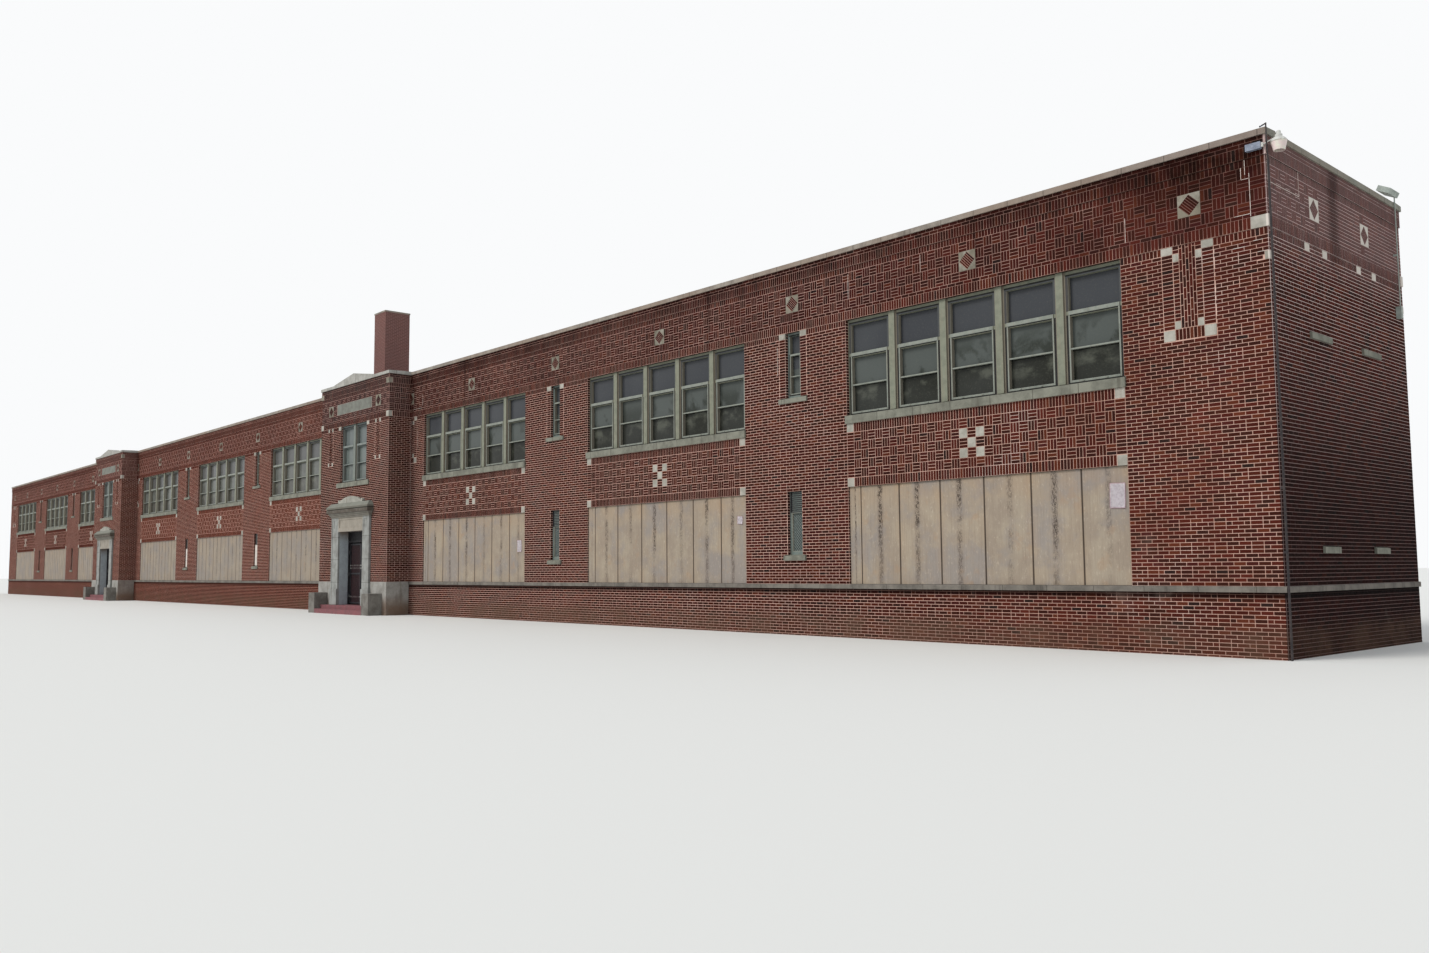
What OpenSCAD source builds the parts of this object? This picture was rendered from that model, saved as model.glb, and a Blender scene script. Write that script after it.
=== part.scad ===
// School building of two storeys at one tenth of its real size, in millimetres.
// Three brick wings carry groups of windows, and two pavilions stand out with an entrance each.
// X runs along the front, Y runs from the front to the rear and Z is up.
// The ground falls towards the left, so the walls run down to the lowest ground at Z = 0.

/* [Plan] */
// Width of the plain brick bay at each end
end_bay_w = 297.18; // [250:5:400]
// Width of one group of windows
group_w = 754.38; // [700:5:820]
// Width of the pier between two groups
pier_w = 377.19; // [340:5:450]
// Width of the plain wall between a group and a pavilion
flank_w = 114.3; // [90:5:160]
// Width of each pavilion
pavilion_w = 662.94; // [640:5:800]
// How far a pavilion stands out from the wings
pavilion_out = 97.155; // [80:5:160]
// Depth of the wings from front to rear
wing_depth = 720; // [620:10:1200]
// Thickness of the walls
wall_t = 33; // [28:1:45]
// Thickness of the front wall of a pavilion
pavilion_wall_t = 50; // [50:1:70]

/* [Heights] */
// From the lowest ground up to the ground at the right front corner
ground_drop = 35; // [30:1:60]
// Brick base above the ground at the right front corner
base_h = 87.63; // [70:1:120]
// Height of the stone water table
table_h = 11.43; // [8:0.5:20]
// Height of the lower openings
lower_open_h = 243.84; // [230:2:280]
// Brickwork from the lower openings up to the sills
spandrel_h = 160.02; // [140:2:200]
// Height of the sills under the groups
sill_h = 22.86; // [14:1:30]
// Height of the upper openings
upper_open_h = 243.84; // [220:2:280]
// Height of the belt course over the upper openings
belt_h = 22.86; // [16:1:30]
// Height of the frieze
frieze_h = 114.3; // [90:2:150]
// Height of the courses under the coping
cap_h = 38.1; // [25:1:60]
// Height of the coping
coping_h = 14.1; // [8:0.5:20]

/* [Walls] */
// How far the belt course stands out
belt_out = 1.5; // [1:0.5:4]
// How far the courses under the coping stand out
cap_out = 2.5; // [1:0.5:4]
// How far the coping hangs over each face
coping_over = 6; // [5:0.5:12]
// How far the top of a coping falls towards the front
coping_fall = 2; // [0.5:0.5:4]
// How far the water table stands out
table_out = 3.5; // [2:0.5:8]
// How deep the water table is let into the wall
table_seat = 14; // [8:1:20]
// Width of the low gable over a pavilion
gable_w = 389; // [250:5:450]
// Rise of the low gable over a pavilion
gable_rise = 28.6; // [15:1:45]

/* [Windows] */
// Lights in one group
lights = 5; // [3:1:6]
// Width of the mullions
mullion_w = 35.4; // [20:1:40]
// Width of the side stiles
stile_w = 9.1; // [6:0.5:14]
// Height of the bottom rail
bottom_rail_h = 7; // [5:0.5:12]
// Height of the top rail
top_rail_h = 13; // [8:0.5:20]
// Height of the transom
transom_h = 11.4; // [6:0.5:16]
// Height of the lights below the transom
sash_h = 139; // [110:1:160]
// How far the frames stand behind the wall face
frame_set = 10; // [5:0.5:14]
// Depth of the frames from front to rear
frame_d = 10; // [6:0.5:12]
// Thickness of the glass
glass_t = 2; // [1:0.5:3]
// How far the boards stand behind the wall face
board_set = 6; // [2:0.5:12]
// Thickness of the boards
board_t = 5; // [3:0.5:8]
// How far the sills stand out
sill_out = 5; // [2:0.5:10]
// How far the top of a sill falls towards the front
sill_fall = 3; // [1:0.5:6]
// How deep the sills are let into the wall
sill_seat = 22; // [16:1:26]
// How far a long sill runs into the wall at each end
sill_lap = 3; // [1:0.5:10]

/* [Narrow windows] */
// Width of the narrow windows
narrow_w = 54.86; // [45:1:80]
// Height of the narrow upper windows
narrow_upper_h = 175.26; // [150:2:200]
// Height of the narrow lower windows
narrow_lower_h = 167.64; // [150:2:200]
// Height of the solid vent panel in a narrow lower window
vent_h = 56; // [30:1:70]
// Width of the stiles and rails in the narrow windows
narrow_stile = 8; // [5:0.5:12]
// Height of the sills under the narrow windows
narrow_sill_h = 15.24; // [10:0.5:24]
// Width of the sills under the narrow upper windows
narrow_upper_sill_w = 102.87; // [90:1:130]
// Width of the sills under the narrow lower windows
narrow_lower_sill_w = 80.01; // [70:1:110]

/* [End walls] */
// Width of the bricked-up windows, whose brick is flush with the wall
blind_w = 66.3; // [50:1:90]
// From the middle of an end wall to the middle of a blind window
blind_offset = 137; // [110:1:200]

/* [Pavilion windows] */
// Width of the upper window of a pavilion
pair_w = 256; // [220:2:300]
// Width of the sill under it
pair_sill_w = 315.5; // [280:2:360]

/* [Entrances] */
// Clear width between the linings
door_w = 240; // [220:2:280]
// Height of the doorway
door_h = 312; // [300:2:330]
// Thickness of the linings
lining_t = 4; // [3:0.5:6]
// Width of each pilaster
pilaster_w = 65; // [56:1:90]
// Width of the raised edge along a pilaster's outer side
edge_w = 8; // [5:0.5:12]
// How far the raised edge stands out from the pilaster
edge_out = 1.8; // [1:0.2:3]
// Width of the sunk square near a pilaster's top
square_w = 34; // [24:1:44]
// How far the pilasters and the lintel stand out
surround_out = 8; // [5:0.5:14]
// Height of the plinths
plinth_h = 68.6; // [50:1:90]
// How far a plinth stands out from its pilaster
plinth_out = 5; // [2:0.5:7]
// Height of the lintel
lintel_h = 60; // [50:1:90]
// Depth of the sunk panel in the lintel
panel_sunk = 2; // [1:0.5:3]
// Height of the cornice
cornice_h = 44; // [30:1:56]
// How far the cornice stands out from the surround
cornice_out = 20; // [10:1:28]
// Height of the sloping wash over the cornice
wash_h = 18; // [10:1:26]
// How far the wash still stands out at its top
wash_out = 3; // [2:0.5:6]
// Width of the curved hood
hood_w = 240; // [180:2:300]
// Rise of the curved hood
hood_rise = 27; // [18:1:36]
// Radius of the rolled ends of the hood
scroll_r = 7; // [5:0.5:10]
// Width of the name plaque, which is blank
plaque_w = 342.9; // [250:2:380]
// Height of the name plaque
plaque_h = 45.72; // [30:1:60]
// From the top of the belt course up to the plaque
plaque_up = 30.48; // [20:1:50]
// Depth of the plaque in the wall
plaque_seat = 6; // [4:0.5:12]
// How far the base stones stand out from the brick
base_out = 1.5; // [0.5:0.5:3]

/* [Entrance leaves] */
// Width of each steel jamb
jamb_w = 8; // [6:0.5:12]
// Depth of the jambs from front to rear
jamb_d = 11; // [10:0.5:14]
// From the jamb's face back to the leaf's face
leaf_back = 5; // [4.5:0.5:7]
// Thickness of a leaf
leaf_t = 5; // [4:0.5:6]
// Clear gap round each leaf
leaf_gap = 5; // [5:0.5:8]
// Clear gap between the two leaves
meeting_gap = 6; // [6:0.5:10]
// From the floor up to the transom bar
transom_up = 266; // [240:1:280]
// Height of the transom bar
transom_bar_h = 8; // [6:0.5:12]
// Width of a leaf's outer members
leaf_rail = 7; // [5:0.5:10]
// Thickness of the panel behind the bars
leaf_panel_t = 1.5; // [1:0.5:2]
// Diameter of the bars
bar_d = 1.8; // [1.2:0.2:2.4]
// Bars in one leaf
leaf_bars = 7; // [4:1:9]
// Diameter of the hinge pins
hinge_pin_d = 3; // [2.4:0.2:4]
// Gap round each hinge pin
hinge_gap = 0.3; // [0.2:0.05:0.4]
// Wall of the hinge knuckles
knuckle_wall = 1.2; // [0.8:0.1:1.5]
// Length of the hinge knuckles
knuckle_h = 10; // [8:1:14]

/* [Stoops] */
// Clear width between the cheek blocks
stoop_w = 468; // [420:2:520]
// Width of each cheek block
cheek_w = 62; // [40:1:80]
// How far the cheek blocks stand out from the pavilion
cheek_out = 60; // [50:1:90]
// Height of the cheek blocks over the floor
cheek_up = 52; // [30:1:70]
// Depth of the upper step
step_d = 34; // [28:1:45]
// Height of the upper step over the lower one
riser_h = 16; // [12:1:20]

/* [Floors] */
// From the upper floor up to the upper openings
floor_to_sill = 91.44; // [70:1:110]
// From the roof deck up to the coping
parapet_h = 116; // [80:2:140]
// Thickness of the ground floor
ground_slab_t = 20; // [15:1:30]
// Thickness of the upper floor
floor_t = 25; // [20:1:35]
// Thickness of the roof deck
roof_t = 20; // [15:1:30]

/* [Chimney] */
// Width of the chimney along the front
chimney_w = 126; // [100:2:180]
// Depth of the chimney from front to rear
chimney_d = 137; // [100:1:180]
// Clear width of the flue along the front
flue_w = 66; // [40:2:80]
// Height of the chimney over the coping
chimney_up = 536; // [300:2:600]
// From the middle of the building to the chimney
chimney_x = 1010; // [920:2:1040]
// From the front wall to the chimney's front
chimney_y = 457; // [380:2:470]
// Thickness of the chimney's cap
cap_stone_t = 8; // [6:0.5:16]
// How far the cap hangs over
cap_stone_over = 2; // [1:0.5:8]

/* [Facing stones] */
// Side of the square facing stones
stone_w = 21.6; // [18:0.2:22.4]
// Pitch of the facing stones in a spandrel
stone_pitch = 22.86; // [22.6:0.1:28]
// Height of the low facing stones
low_stone_h = 15.24; // [12:0.5:20]
// Width of the low facing stones beside a window
head_stone_w = 22.86; // [16:0.5:30]
// Width of the narrow facing stones
slim_stone_w = 12; // [8:0.5:16]
// How deep the facing stones are let into the wall
stone_seat = 4; // [3:0.5:4.5]
// How far the facing stones stand out from the brick
stone_out = 0.8; // [0.4:0.1:1.4]
// Side of the square stones in the frieze with a brick diamond in each
diamond_w = 45.72; // [36:0.5:56]
// Stone left between a diamond's points and the edge of its square
diamond_rim = 1.6; // [1:0.1:4]
// From the middle of an end bay to the middle of its panel
panel_shift = 8; // [0:1:20]
// From the foot of an end bay's panel up to the belt course
panel_h = 189; // [150:2:220]
// From the middle of an end bay's panel to its outer stones
panel_outer_x = 41; // [36:1:56]
// From the middle of an end bay's panel to its inner stones
panel_inner_x = 23; // [18:0.5:27]
// From the middle of a pavilion to its side panels
side_panel_x = 233.2; // [205:1:260]
// From the middle of a side panel to its stones
side_panel_half = 19.4; // [14:0.5:26]
// Width of a corner stone along the front
corner_stone_w = 30.4; // [20:0.5:40]
// Width of a corner stone along the end wall
corner_stone_d = 12.6; // [8:0.5:20]
// Width of the small corner stone on both faces
small_corner_w = 8; // [5:0.5:12]
// From the top of the small corner stone up to the belt course
small_corner_down = 47; // [30:1:80]

/* [Corner fixtures] */
// From the end wall to the middle of the yard light
yard_light_reach = 24; // [22:1:44]
// From the front wall back to the middle of the yard light
yard_light_back = 7; // [4:1:16]
// From the coping down to the rim of the yard light's bowl
yard_light_down = 19; // [8:1:40]
// Diameter of the bowl at its rim
bowl_d = 28; // [24:1:30]
// Height of the bowl
bowl_h = 17; // [14:1:30]
// Wall of the bowl
bowl_wall = 1.2; // [0.8:0.1:2]
// Height of the dome over the bowl
dome_h = 9; // [5:0.5:14]
// Diameter of the light's neck
neck_d = 13; // [6:0.5:14]
// Height of the neck with its light cell
neck_h = 12; // [6:0.5:16]
// Diameter of the light's arm
arm_d = 2.4; // [1.6:0.2:3.2]
// Diameter of the conduits
conduit_d = 2.6; // [2:0.2:3.4]
// Diameter of the pipe down the corner
pipe_d = 4.2; // [3:0.2:4.4]
// Diameter of a rod's ball fittings against the rod
fitting_ratio = 1.25; // [1.1:0.05:1.6]
// From the front wall out to the middle of the corner pipe
pipe_front = 1.5; // [0:0.5:3]
// From the end wall to the middle of the corner pipe
pipe_off = 6.2; // [6.2:0.1:8]
// How far the conduit stands out from both walls as it passes the coping's corner
conduit_corner = 7.4; // [7.4:0.1:10]
// From the end wall to the middle of the rear conduit
conduit_out = 8.6; // [8:0.2:16]
// How far a conduit stands over the coping
conduit_over = 3; // [2.5:0.5:24]
// How far the corner conduit turns back over the coping
conduit_hook = 14; // [8:1:30]
// Width of the metal box at the corner
corner_box_w = 28; // [20:1:44]
// Height of the metal box
corner_box_h = 13; // [10:0.5:22]
// Depth of the metal box
corner_box_d = 9; // [7:0.5:14]
// From the rear wall's face forward to the rear conduit
rear_conduit_y = 44; // [20:1:60]
// Length of the rear conduit below the coping
rear_conduit_drop = 236; // [150:2:300]
// Length of the floodlight
flood_l = 53; // [30:1:60]
// Width of the floodlight
flood_w = 28; // [20:1:36]
// Thickness of the floodlight
flood_t = 12; // [8:0.5:18]
// Tilt of the floodlight
flood_tilt = 28; // [0:2:45]

/* [Hidden] */
$fn = 48;

// A cut runs this far past the face that it opens
cut = 1;

// Levels
z_floor = ground_drop;
z_table = z_floor + base_h;
z_lower = z_table + table_h;
z_spandrel = z_lower + lower_open_h;
z_sill = z_spandrel + spandrel_h;
z_upper = z_sill + sill_h;
z_belt = z_upper + upper_open_h;
z_frieze = z_belt + belt_h;
z_cap = z_frieze + frieze_h;
z_coping = z_cap + cap_h;
z_top = z_coping + coping_h;
z_upper_floor = z_upper - floor_to_sill;
z_deck = z_coping - parapet_h;
z_door_head = z_floor + door_h;
z_diamond = z_frieze + plaque_up + diamond_w / 2;
z_rim = z_coping - yard_light_down;
z_box = z_cap + (cap_h - corner_box_h) * 0.4;

// Places along the front, from the middle to the right
group_pitch = group_w + pier_w;
middle_half = 1.5 * group_w + pier_w + flank_w;
pavilion_x = middle_half + pavilion_w / 2;
outer_start = middle_half + pavilion_w;
first_outer_x = outer_start + flank_w + group_w / 2;
half_len = outer_start + flank_w + 3 * group_w + 2 * pier_w + end_bay_w;
middle_groups = [for (i = [-1:1]) i * group_pitch];
outer_groups = [for (i = [0:2]) first_outer_x + i * group_pitch];
middle_narrows = [-group_pitch / 2, group_pitch / 2];
outer_narrows = [for (i = [0:1]) first_outer_x + (i + 0.5) * group_pitch];

// The whole plan is shifted so that its box is centred on the origin
front_reach = pavilion_out + cheek_out;
rear_reach = wing_depth + coping_over;
plan_shift = (front_reach - rear_reach) / 2;
side_reach = max(yard_light_reach + bowl_d / 2 + bowl_wall, coping_over);
side_shift = (coping_over - side_reach) / 2;

long_sill_w = group_w + 2 * sill_lap;
light_w = (group_w - 2 * stile_w - (lights - 1) * mullion_w) / lights;
sash_rows = [[z_upper + bottom_rail_h, z_upper + bottom_rail_h + sash_h],
    [z_upper + bottom_rail_h + sash_h + transom_h, z_belt - top_rail_h]];
rough_w = door_w + 2 * lining_t;
surround_w = door_w + 2 * pilaster_w;
z_lintel_top = z_door_head + lintel_h;

// Places of the entrance leaves, in a pavilion's own frame with its wall face at Y = 0
leaf_y = pavilion_wall_t - leaf_t - 2;
jamb_y = leaf_y - leaf_back;
jamb_x = door_w / 2 - jamb_w;
knuckle_r = hinge_pin_d / 2 + hinge_gap + knuckle_wall;
hinge_x = jamb_x - knuckle_r - 1;
hinge_y = leaf_y - knuckle_r - 0.3;
leaf_w = jamb_x - leaf_gap - meeting_gap / 2;
leaf_z = z_floor + leaf_gap;
leaf_h = transom_up - 2 * leaf_gap;
hinge_levels = [for (i = [0:2]) leaf_z + leaf_h * (0.12 + 0.36 * i)];

// A box between two corners
module block(x0, x1, y0, y1, z0, z1) {
    translate([x0, y0, z0]) cube([x1 - x0, y1 - y0, z1 - z0]);
}

// Shifts the plan into the model's frame
module centred() {
    translate([side_shift, plan_shift, 0]) children();
}

module both_sides() {
    children();
    mirror([1, 0, 0]) children();
}

// Puts pieces drawn with a wall face at Y = 0 on the rear wall
module on_rear(x) {
    translate([x, wing_depth, 0]) rotate([0, 0, 180]) children();
}

// Puts pieces drawn with a wall face at Y = 0 on the right end wall
module on_right_end(y) {
    translate([half_len, y, 0]) rotate([0, 0, 90]) children();
}

// Puts pieces drawn in a pavilion's own frame on both pavilions
module on_pavilions() {
    for (x = [-pavilion_x, pavilion_x]) translate([x, -pavilion_out, 0]) children();
}

// Puts a piece on every group of windows, front and rear
module on_groups() {
    for (x = middle_groups) {
        translate([x, 0, 0]) children();
        on_rear(x) children();
    }
    both_sides() for (x = outer_groups) {
        translate([x, 0, 0]) children();
        on_rear(x) children();
    }
}

// Puts a piece on every pier with narrow windows, front and rear
module on_piers() {
    for (x = middle_narrows) {
        translate([x, 0, 0]) children();
        on_rear(x) children();
    }
    both_sides() for (x = outer_narrows) {
        translate([x, 0, 0]) children();
        on_rear(x) children();
    }
}

// Puts a piece on the two blind windows of each end wall
module on_blinds() {
    both_sides() for (side = [-1, 1]) {
        on_right_end(wing_depth / 2 + side * blind_offset) children();
    }
}

// Runs an outline of Y and Z along X
module along_x(x0, x1) {
    translate([x0, 0, 0]) rotate([90, 0, 90]) linear_extrude(x1 - x0) children();
}

// Room for one group's boards, sill and window
module group_cuts() {
    block(-group_w / 2, group_w / 2, -cut, wall_t + cut, z_lower, z_spandrel);
    block(-group_w / 2, group_w / 2, -cut, wall_t + cut, z_upper, z_belt);
    block(-long_sill_w / 2, long_sill_w / 2, -cut, sill_seat, z_sill, z_upper);
}

// Room for a pier's two narrow windows and their sills
module narrow_cuts() {
    upper = z_belt - narrow_upper_h;
    lower = z_spandrel - narrow_lower_h;
    block(-narrow_w / 2, narrow_w / 2, -cut, wall_t + cut, upper, z_belt);
    block(-narrow_w / 2, narrow_w / 2, -cut, wall_t + cut, lower, z_spandrel);
    sill_cut(narrow_upper_sill_w, upper);
    sill_cut(narrow_lower_sill_w, lower);
}

// Pocket of a narrow window's sill, whose top is at z
module sill_cut(w, z) {
    block(-w / 2, w / 2, -cut, sill_seat, z - narrow_sill_h, z);
}

// Pockets for the sills of a bricked-up window pair
module blind_cuts() {
    sill_cut(narrow_upper_sill_w, z_belt - narrow_upper_h);
    sill_cut(narrow_lower_sill_w, z_spandrel - narrow_lower_h);
}

// Groove of the water table along a wall face at Y = 0
module table_cut(x0, x1) {
    block(x0, x1, -cut, table_seat, z_table, z_lower);
}

// Belt course and the courses under the coping, on a wall face at Y = 0
module bands(x0, x1) {
    block(x0, x1, -belt_out, 0, z_belt, z_frieze);
    block(x0, x1, -cap_out, 0, z_cap, z_coping);
}

module middle_wing_wall() {
    difference() {
        union() {
            block(-middle_half, middle_half, 0, wall_t, 0, z_coping);
            bands(-middle_half, middle_half);
        }
        table_cut(-middle_half - cut, middle_half + cut);
        for (x = middle_groups) translate([x, 0, 0]) group_cuts();
        for (x = middle_narrows) translate([x, 0, 0]) narrow_cuts();
        middle_stones(cut);
    }
}

module outer_wing_wall() {
    difference() {
        union() {
            block(outer_start, half_len, 0, wall_t, 0, z_coping);
            block(outer_start, half_len + belt_out, -belt_out, wall_t, z_belt, z_frieze);
            block(outer_start, half_len + cap_out, -cap_out, wall_t, z_cap, z_coping);
        }
        table_cut(outer_start - cut, half_len + cut);
        on_right_end(wall_t / 2) table_cut(-wall_t / 2 - cut, wall_t / 2 + cut);
        for (x = outer_groups) translate([x, 0, 0]) group_cuts();
        for (x = outer_narrows) translate([x, 0, 0]) narrow_cuts();
        outer_stones(cut);
    }
}

module front_walls() {
    color("firebrick") centred() {
        middle_wing_wall();
        both_sides() outer_wing_wall();
    }
}

module rear_wall() {
    color("firebrick") centred() difference() {
        translate([0, wing_depth, 0]) rotate([0, 0, 180]) union() {
            block(-half_len, half_len, 0, wall_t, 0, z_coping);
            block(-half_len - belt_out, half_len + belt_out, -belt_out, wall_t, z_belt, z_frieze);
            block(-half_len - cap_out, half_len + cap_out, -cap_out, wall_t, z_cap, z_coping);
        }
        on_rear(0) table_cut(-half_len - cut, half_len + cut);
        both_sides() on_right_end(wing_depth - wall_t / 2) table_cut(-wall_t / 2 - cut, wall_t / 2 + cut);
        for (x = middle_groups) on_rear(x) group_cuts();
        for (x = middle_narrows) on_rear(x) narrow_cuts();
        both_sides() {
            for (x = outer_groups) on_rear(x) group_cuts();
            for (x = outer_narrows) on_rear(x) narrow_cuts();
            rear_corner() corner_stones(half_len, cut);
        }
    }
}

module end_walls() {
    inner = wing_depth / 2 - wall_t;
    color("brown") centred() both_sides() on_right_end(wing_depth / 2) difference() {
        union() {
            block(-inner, inner, 0, wall_t, 0, z_coping);
            bands(-inner, inner);
        }
        table_cut(-inner - cut, inner + cut);
        for (side = [-1, 1]) translate([side * blind_offset, 0, 0]) {
            blind_cuts();
            blind_stones(cut);
        }
    }
}

// Pavilion walls, drawn with the pavilion's face at Y = 0
module pavilion_piers() {
    color("firebrick") centred() on_pavilions() both_sides() {
        block(rough_w / 2, pavilion_w / 2, 0, pavilion_wall_t, z_lower, z_door_head + lining_t);
    }
}

module pavilion_upper_walls() {
    half = pavilion_w / 2;
    color("firebrick") centred() on_pavilions() difference() {
        union() {
            block(-half, half, 0, pavilion_wall_t, z_door_head + lining_t, z_coping);
            block(-half - belt_out, half + belt_out, -belt_out, pavilion_wall_t, z_belt, z_frieze);
            block(-half - cap_out, half + cap_out, -cap_out, pavilion_wall_t, z_cap, z_coping);
        }
        block(-pair_w / 2, pair_w / 2, -cut, pavilion_wall_t + cut, z_upper, z_belt);
        block(-pair_sill_w / 2, pair_sill_w / 2, -cut, sill_seat, z_sill, z_upper);
        plaque_place(cut);
        pavilion_stones(cut);
    }
}

module pavilion_side_walls() {
    outer = pavilion_w / 2;
    rear = pavilion_out + wall_t;
    color("brown") centred() on_pavilions() both_sides() {
        block(outer - wall_t, outer, pavilion_wall_t, rear, z_lower, z_coping);
        block(outer - wall_t, outer + belt_out, pavilion_wall_t, pavilion_out - belt_out, z_belt, z_frieze);
        block(outer - wall_t, outer + cap_out, pavilion_wall_t, pavilion_out - cap_out, z_cap, z_coping);
    }
}

module pavilion_base_fronts() {
    color("lightgray") centred() on_pavilions() both_sides() {
        block(rough_w / 2, pavilion_w / 2 + base_out, 0, pavilion_wall_t, 0, z_lower);
        block(surround_w / 2 + plinth_out, pavilion_w / 2 + base_out, -base_out, 0, 0, z_lower);
    }
}

module pavilion_base_returns() {
    outer = pavilion_w / 2;
    color("lightgray") centred() on_pavilions() both_sides() {
        block(outer - wall_t, outer, pavilion_wall_t, pavilion_out + wall_t, 0, z_lower);
        block(outer, outer + base_out, pavilion_wall_t, pavilion_out - table_out, 0, z_lower);
    }
}

// Outline of the water table, whose top falls towards the front
module table_outline(seat) {
    polygon([[-table_out, z_table], [seat, z_table], [seat, z_lower], [0, z_lower],
        [-table_out, z_lower - table_out / 2]]);
}

module water_table_long() {
    over = half_len + table_out;
    color("silver") centred() {
        along_x(-middle_half, middle_half) table_outline(table_seat);
        both_sides() along_x(outer_start, over) table_outline(table_seat);
        on_rear(0) along_x(-over, over) table_outline(table_seat);
    }
}

module water_table_ends() {
    inner = wing_depth / 2 - table_seat;
    color("silver") centred() both_sides() on_right_end(wing_depth / 2) {
        along_x(-inner, inner) table_outline(table_seat);
    }
}

// Outline of the coping over a wall of thickness t whose face is at Y = 0
module coping_outline(t) {
    polygon([[-coping_over, z_coping], [t + coping_over, z_coping],
        [t + coping_over, z_top], [-coping_over, z_top - coping_fall]]);
}

module coping_long() {
    over = half_len + coping_over;
    color("gray") centred() {
        along_x(-middle_half + coping_over, middle_half - coping_over) coping_outline(wall_t);
        both_sides() along_x(outer_start + coping_over, over) coping_outline(wall_t);
        on_rear(0) along_x(-over, over) coping_outline(wall_t);
    }
}

module coping_ends() {
    inner = wing_depth / 2 - wall_t - coping_over;
    color("gray") centred() both_sides() on_right_end(wing_depth / 2) {
        along_x(-inner, inner) coping_outline(wall_t);
    }
}

// Pavilion coping with its low stone gable and its two returns
module pavilion_copings() {
    half = pavilion_w / 2;
    front_end = pavilion_wall_t + coping_over;
    color("gray") centred() on_pavilions() {
        along_x(-half - coping_over, half + coping_over) coping_outline(pavilion_wall_t);
        both_sides() block(half - wall_t - coping_over, half + coping_over, front_end,
            pavilion_out + wall_t + coping_over, z_coping, z_top);
        translate([0, front_end, 0]) rotate([90, 0, 0])
            linear_extrude(front_end + coping_over) gable_outline();
    }
}

module gable_outline() {
    polygon([[-gable_w / 2, z_coping], [gable_w / 2, z_coping], [gable_w / 2, z_top],
        [0, z_top + gable_rise], [-gable_w / 2, z_top]]);
}

// A sill of width w and height h with its top at z
module sill_stone(w, h, z) {
    along_x(-w / 2, w / 2) translate([0, z - h]) polygon([[-sill_out, 0], [sill_seat, 0],
        [sill_seat, h], [frame_set, h], [-sill_out, h - sill_fall]]);
}

module window_sills() {
    color("darkgray") centred() {
        on_groups() sill_stone(long_sill_w, sill_h, z_upper);
        on_piers() narrow_sills();
        on_blinds() narrow_sills();
        on_pavilions() sill_stone(pair_sill_w, sill_h, z_upper);
    }
}

module narrow_sills() {
    sill_stone(narrow_upper_sill_w, narrow_sill_h, z_belt - narrow_upper_h);
    sill_stone(narrow_lower_sill_w, narrow_sill_h, z_spandrel - narrow_lower_h);
}

// A frame of width w from z0 to z1, with n lights across and a row of lights for each pair of levels
module window_frame(w, z0, z1, n, side, mullion, rows) {
    light = (w - 2 * side - (n - 1) * mullion) / n;
    difference() {
        block(-w / 2, w / 2, frame_set, frame_set + frame_d, z0, z1);
        for (i = [0:n - 1]) for (row = rows) {
            left = -w / 2 + side + i * (light + mullion);
            block(left, left + light, frame_set - cut, frame_set + frame_d + cut, row[0], row[1]);
        }
    }
}

// A sheet of glass behind a frame
module pane(w, z0, z1) {
    block(-w / 2, w / 2, frame_set + frame_d, frame_set + frame_d + glass_t, z0, z1);
}

module upper_window_frames() {
    color("darkseagreen") centred() on_groups() {
        window_frame(group_w, z_upper, z_belt, lights, stile_w, mullion_w, sash_rows);
    }
}

module upper_window_glass() {
    color("slategray") centred() on_groups() pane(group_w, z_upper, z_belt);
}

module small_window_frames() {
    upper = z_belt - narrow_upper_h;
    lower = z_spandrel - narrow_lower_h;
    upper_rows = [[upper + narrow_stile, z_belt - narrow_stile]];
    lower_rows = [[lower + narrow_stile, z_spandrel - vent_h]];
    color("darkseagreen") centred() {
        on_piers() {
            window_frame(narrow_w, upper, z_belt, 1, narrow_stile, 0, upper_rows);
            window_frame(narrow_w, lower, z_spandrel, 1, narrow_stile, 0, lower_rows);
        }
        on_pavilions() window_frame(pair_w, z_upper, z_belt, 2, stile_w, mullion_w, sash_rows);
    }
}

module small_window_glass() {
    color("slategray") centred() {
        on_piers() {
            pane(narrow_w, z_belt - narrow_upper_h, z_belt);
            pane(narrow_w, z_spandrel - narrow_lower_h, z_spandrel);
        }
        on_pavilions() pane(pair_w, z_upper, z_belt);
    }
}

module lower_boards() {
    color("tan") centred() on_groups() {
        block(-group_w / 2, group_w / 2, board_set, board_set + board_t, z_lower, z_spandrel);
    }
}

// A slab between the walls of the wings
module wing_slab(top, t) {
    block(-half_len + wall_t, half_len - wall_t, wall_t, wing_depth - wall_t, top - t, top);
}

module ground_floor() {
    color("gainsboro") centred() wing_slab(z_floor, ground_slab_t);
}

module upper_floor() {
    color("gainsboro") centred() wing_slab(z_upper_floor, floor_t);
}

module roof_deck() {
    color("dimgray") centred() wing_slab(z_deck, roof_t);
}

// The three slabs inside a pavilion
module pavilion_slabs() {
    half = pavilion_w / 2 - wall_t;
    rear = pavilion_out + wall_t;
    color("gainsboro") centred() on_pavilions() {
        block(-half, half, pavilion_wall_t, rear, z_floor - ground_slab_t, z_floor);
        block(-half, half, pavilion_wall_t, rear, z_upper_floor - floor_t, z_upper_floor);
        block(-half, half, pavilion_wall_t, rear, z_deck - roof_t, z_deck);
    }
}

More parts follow.
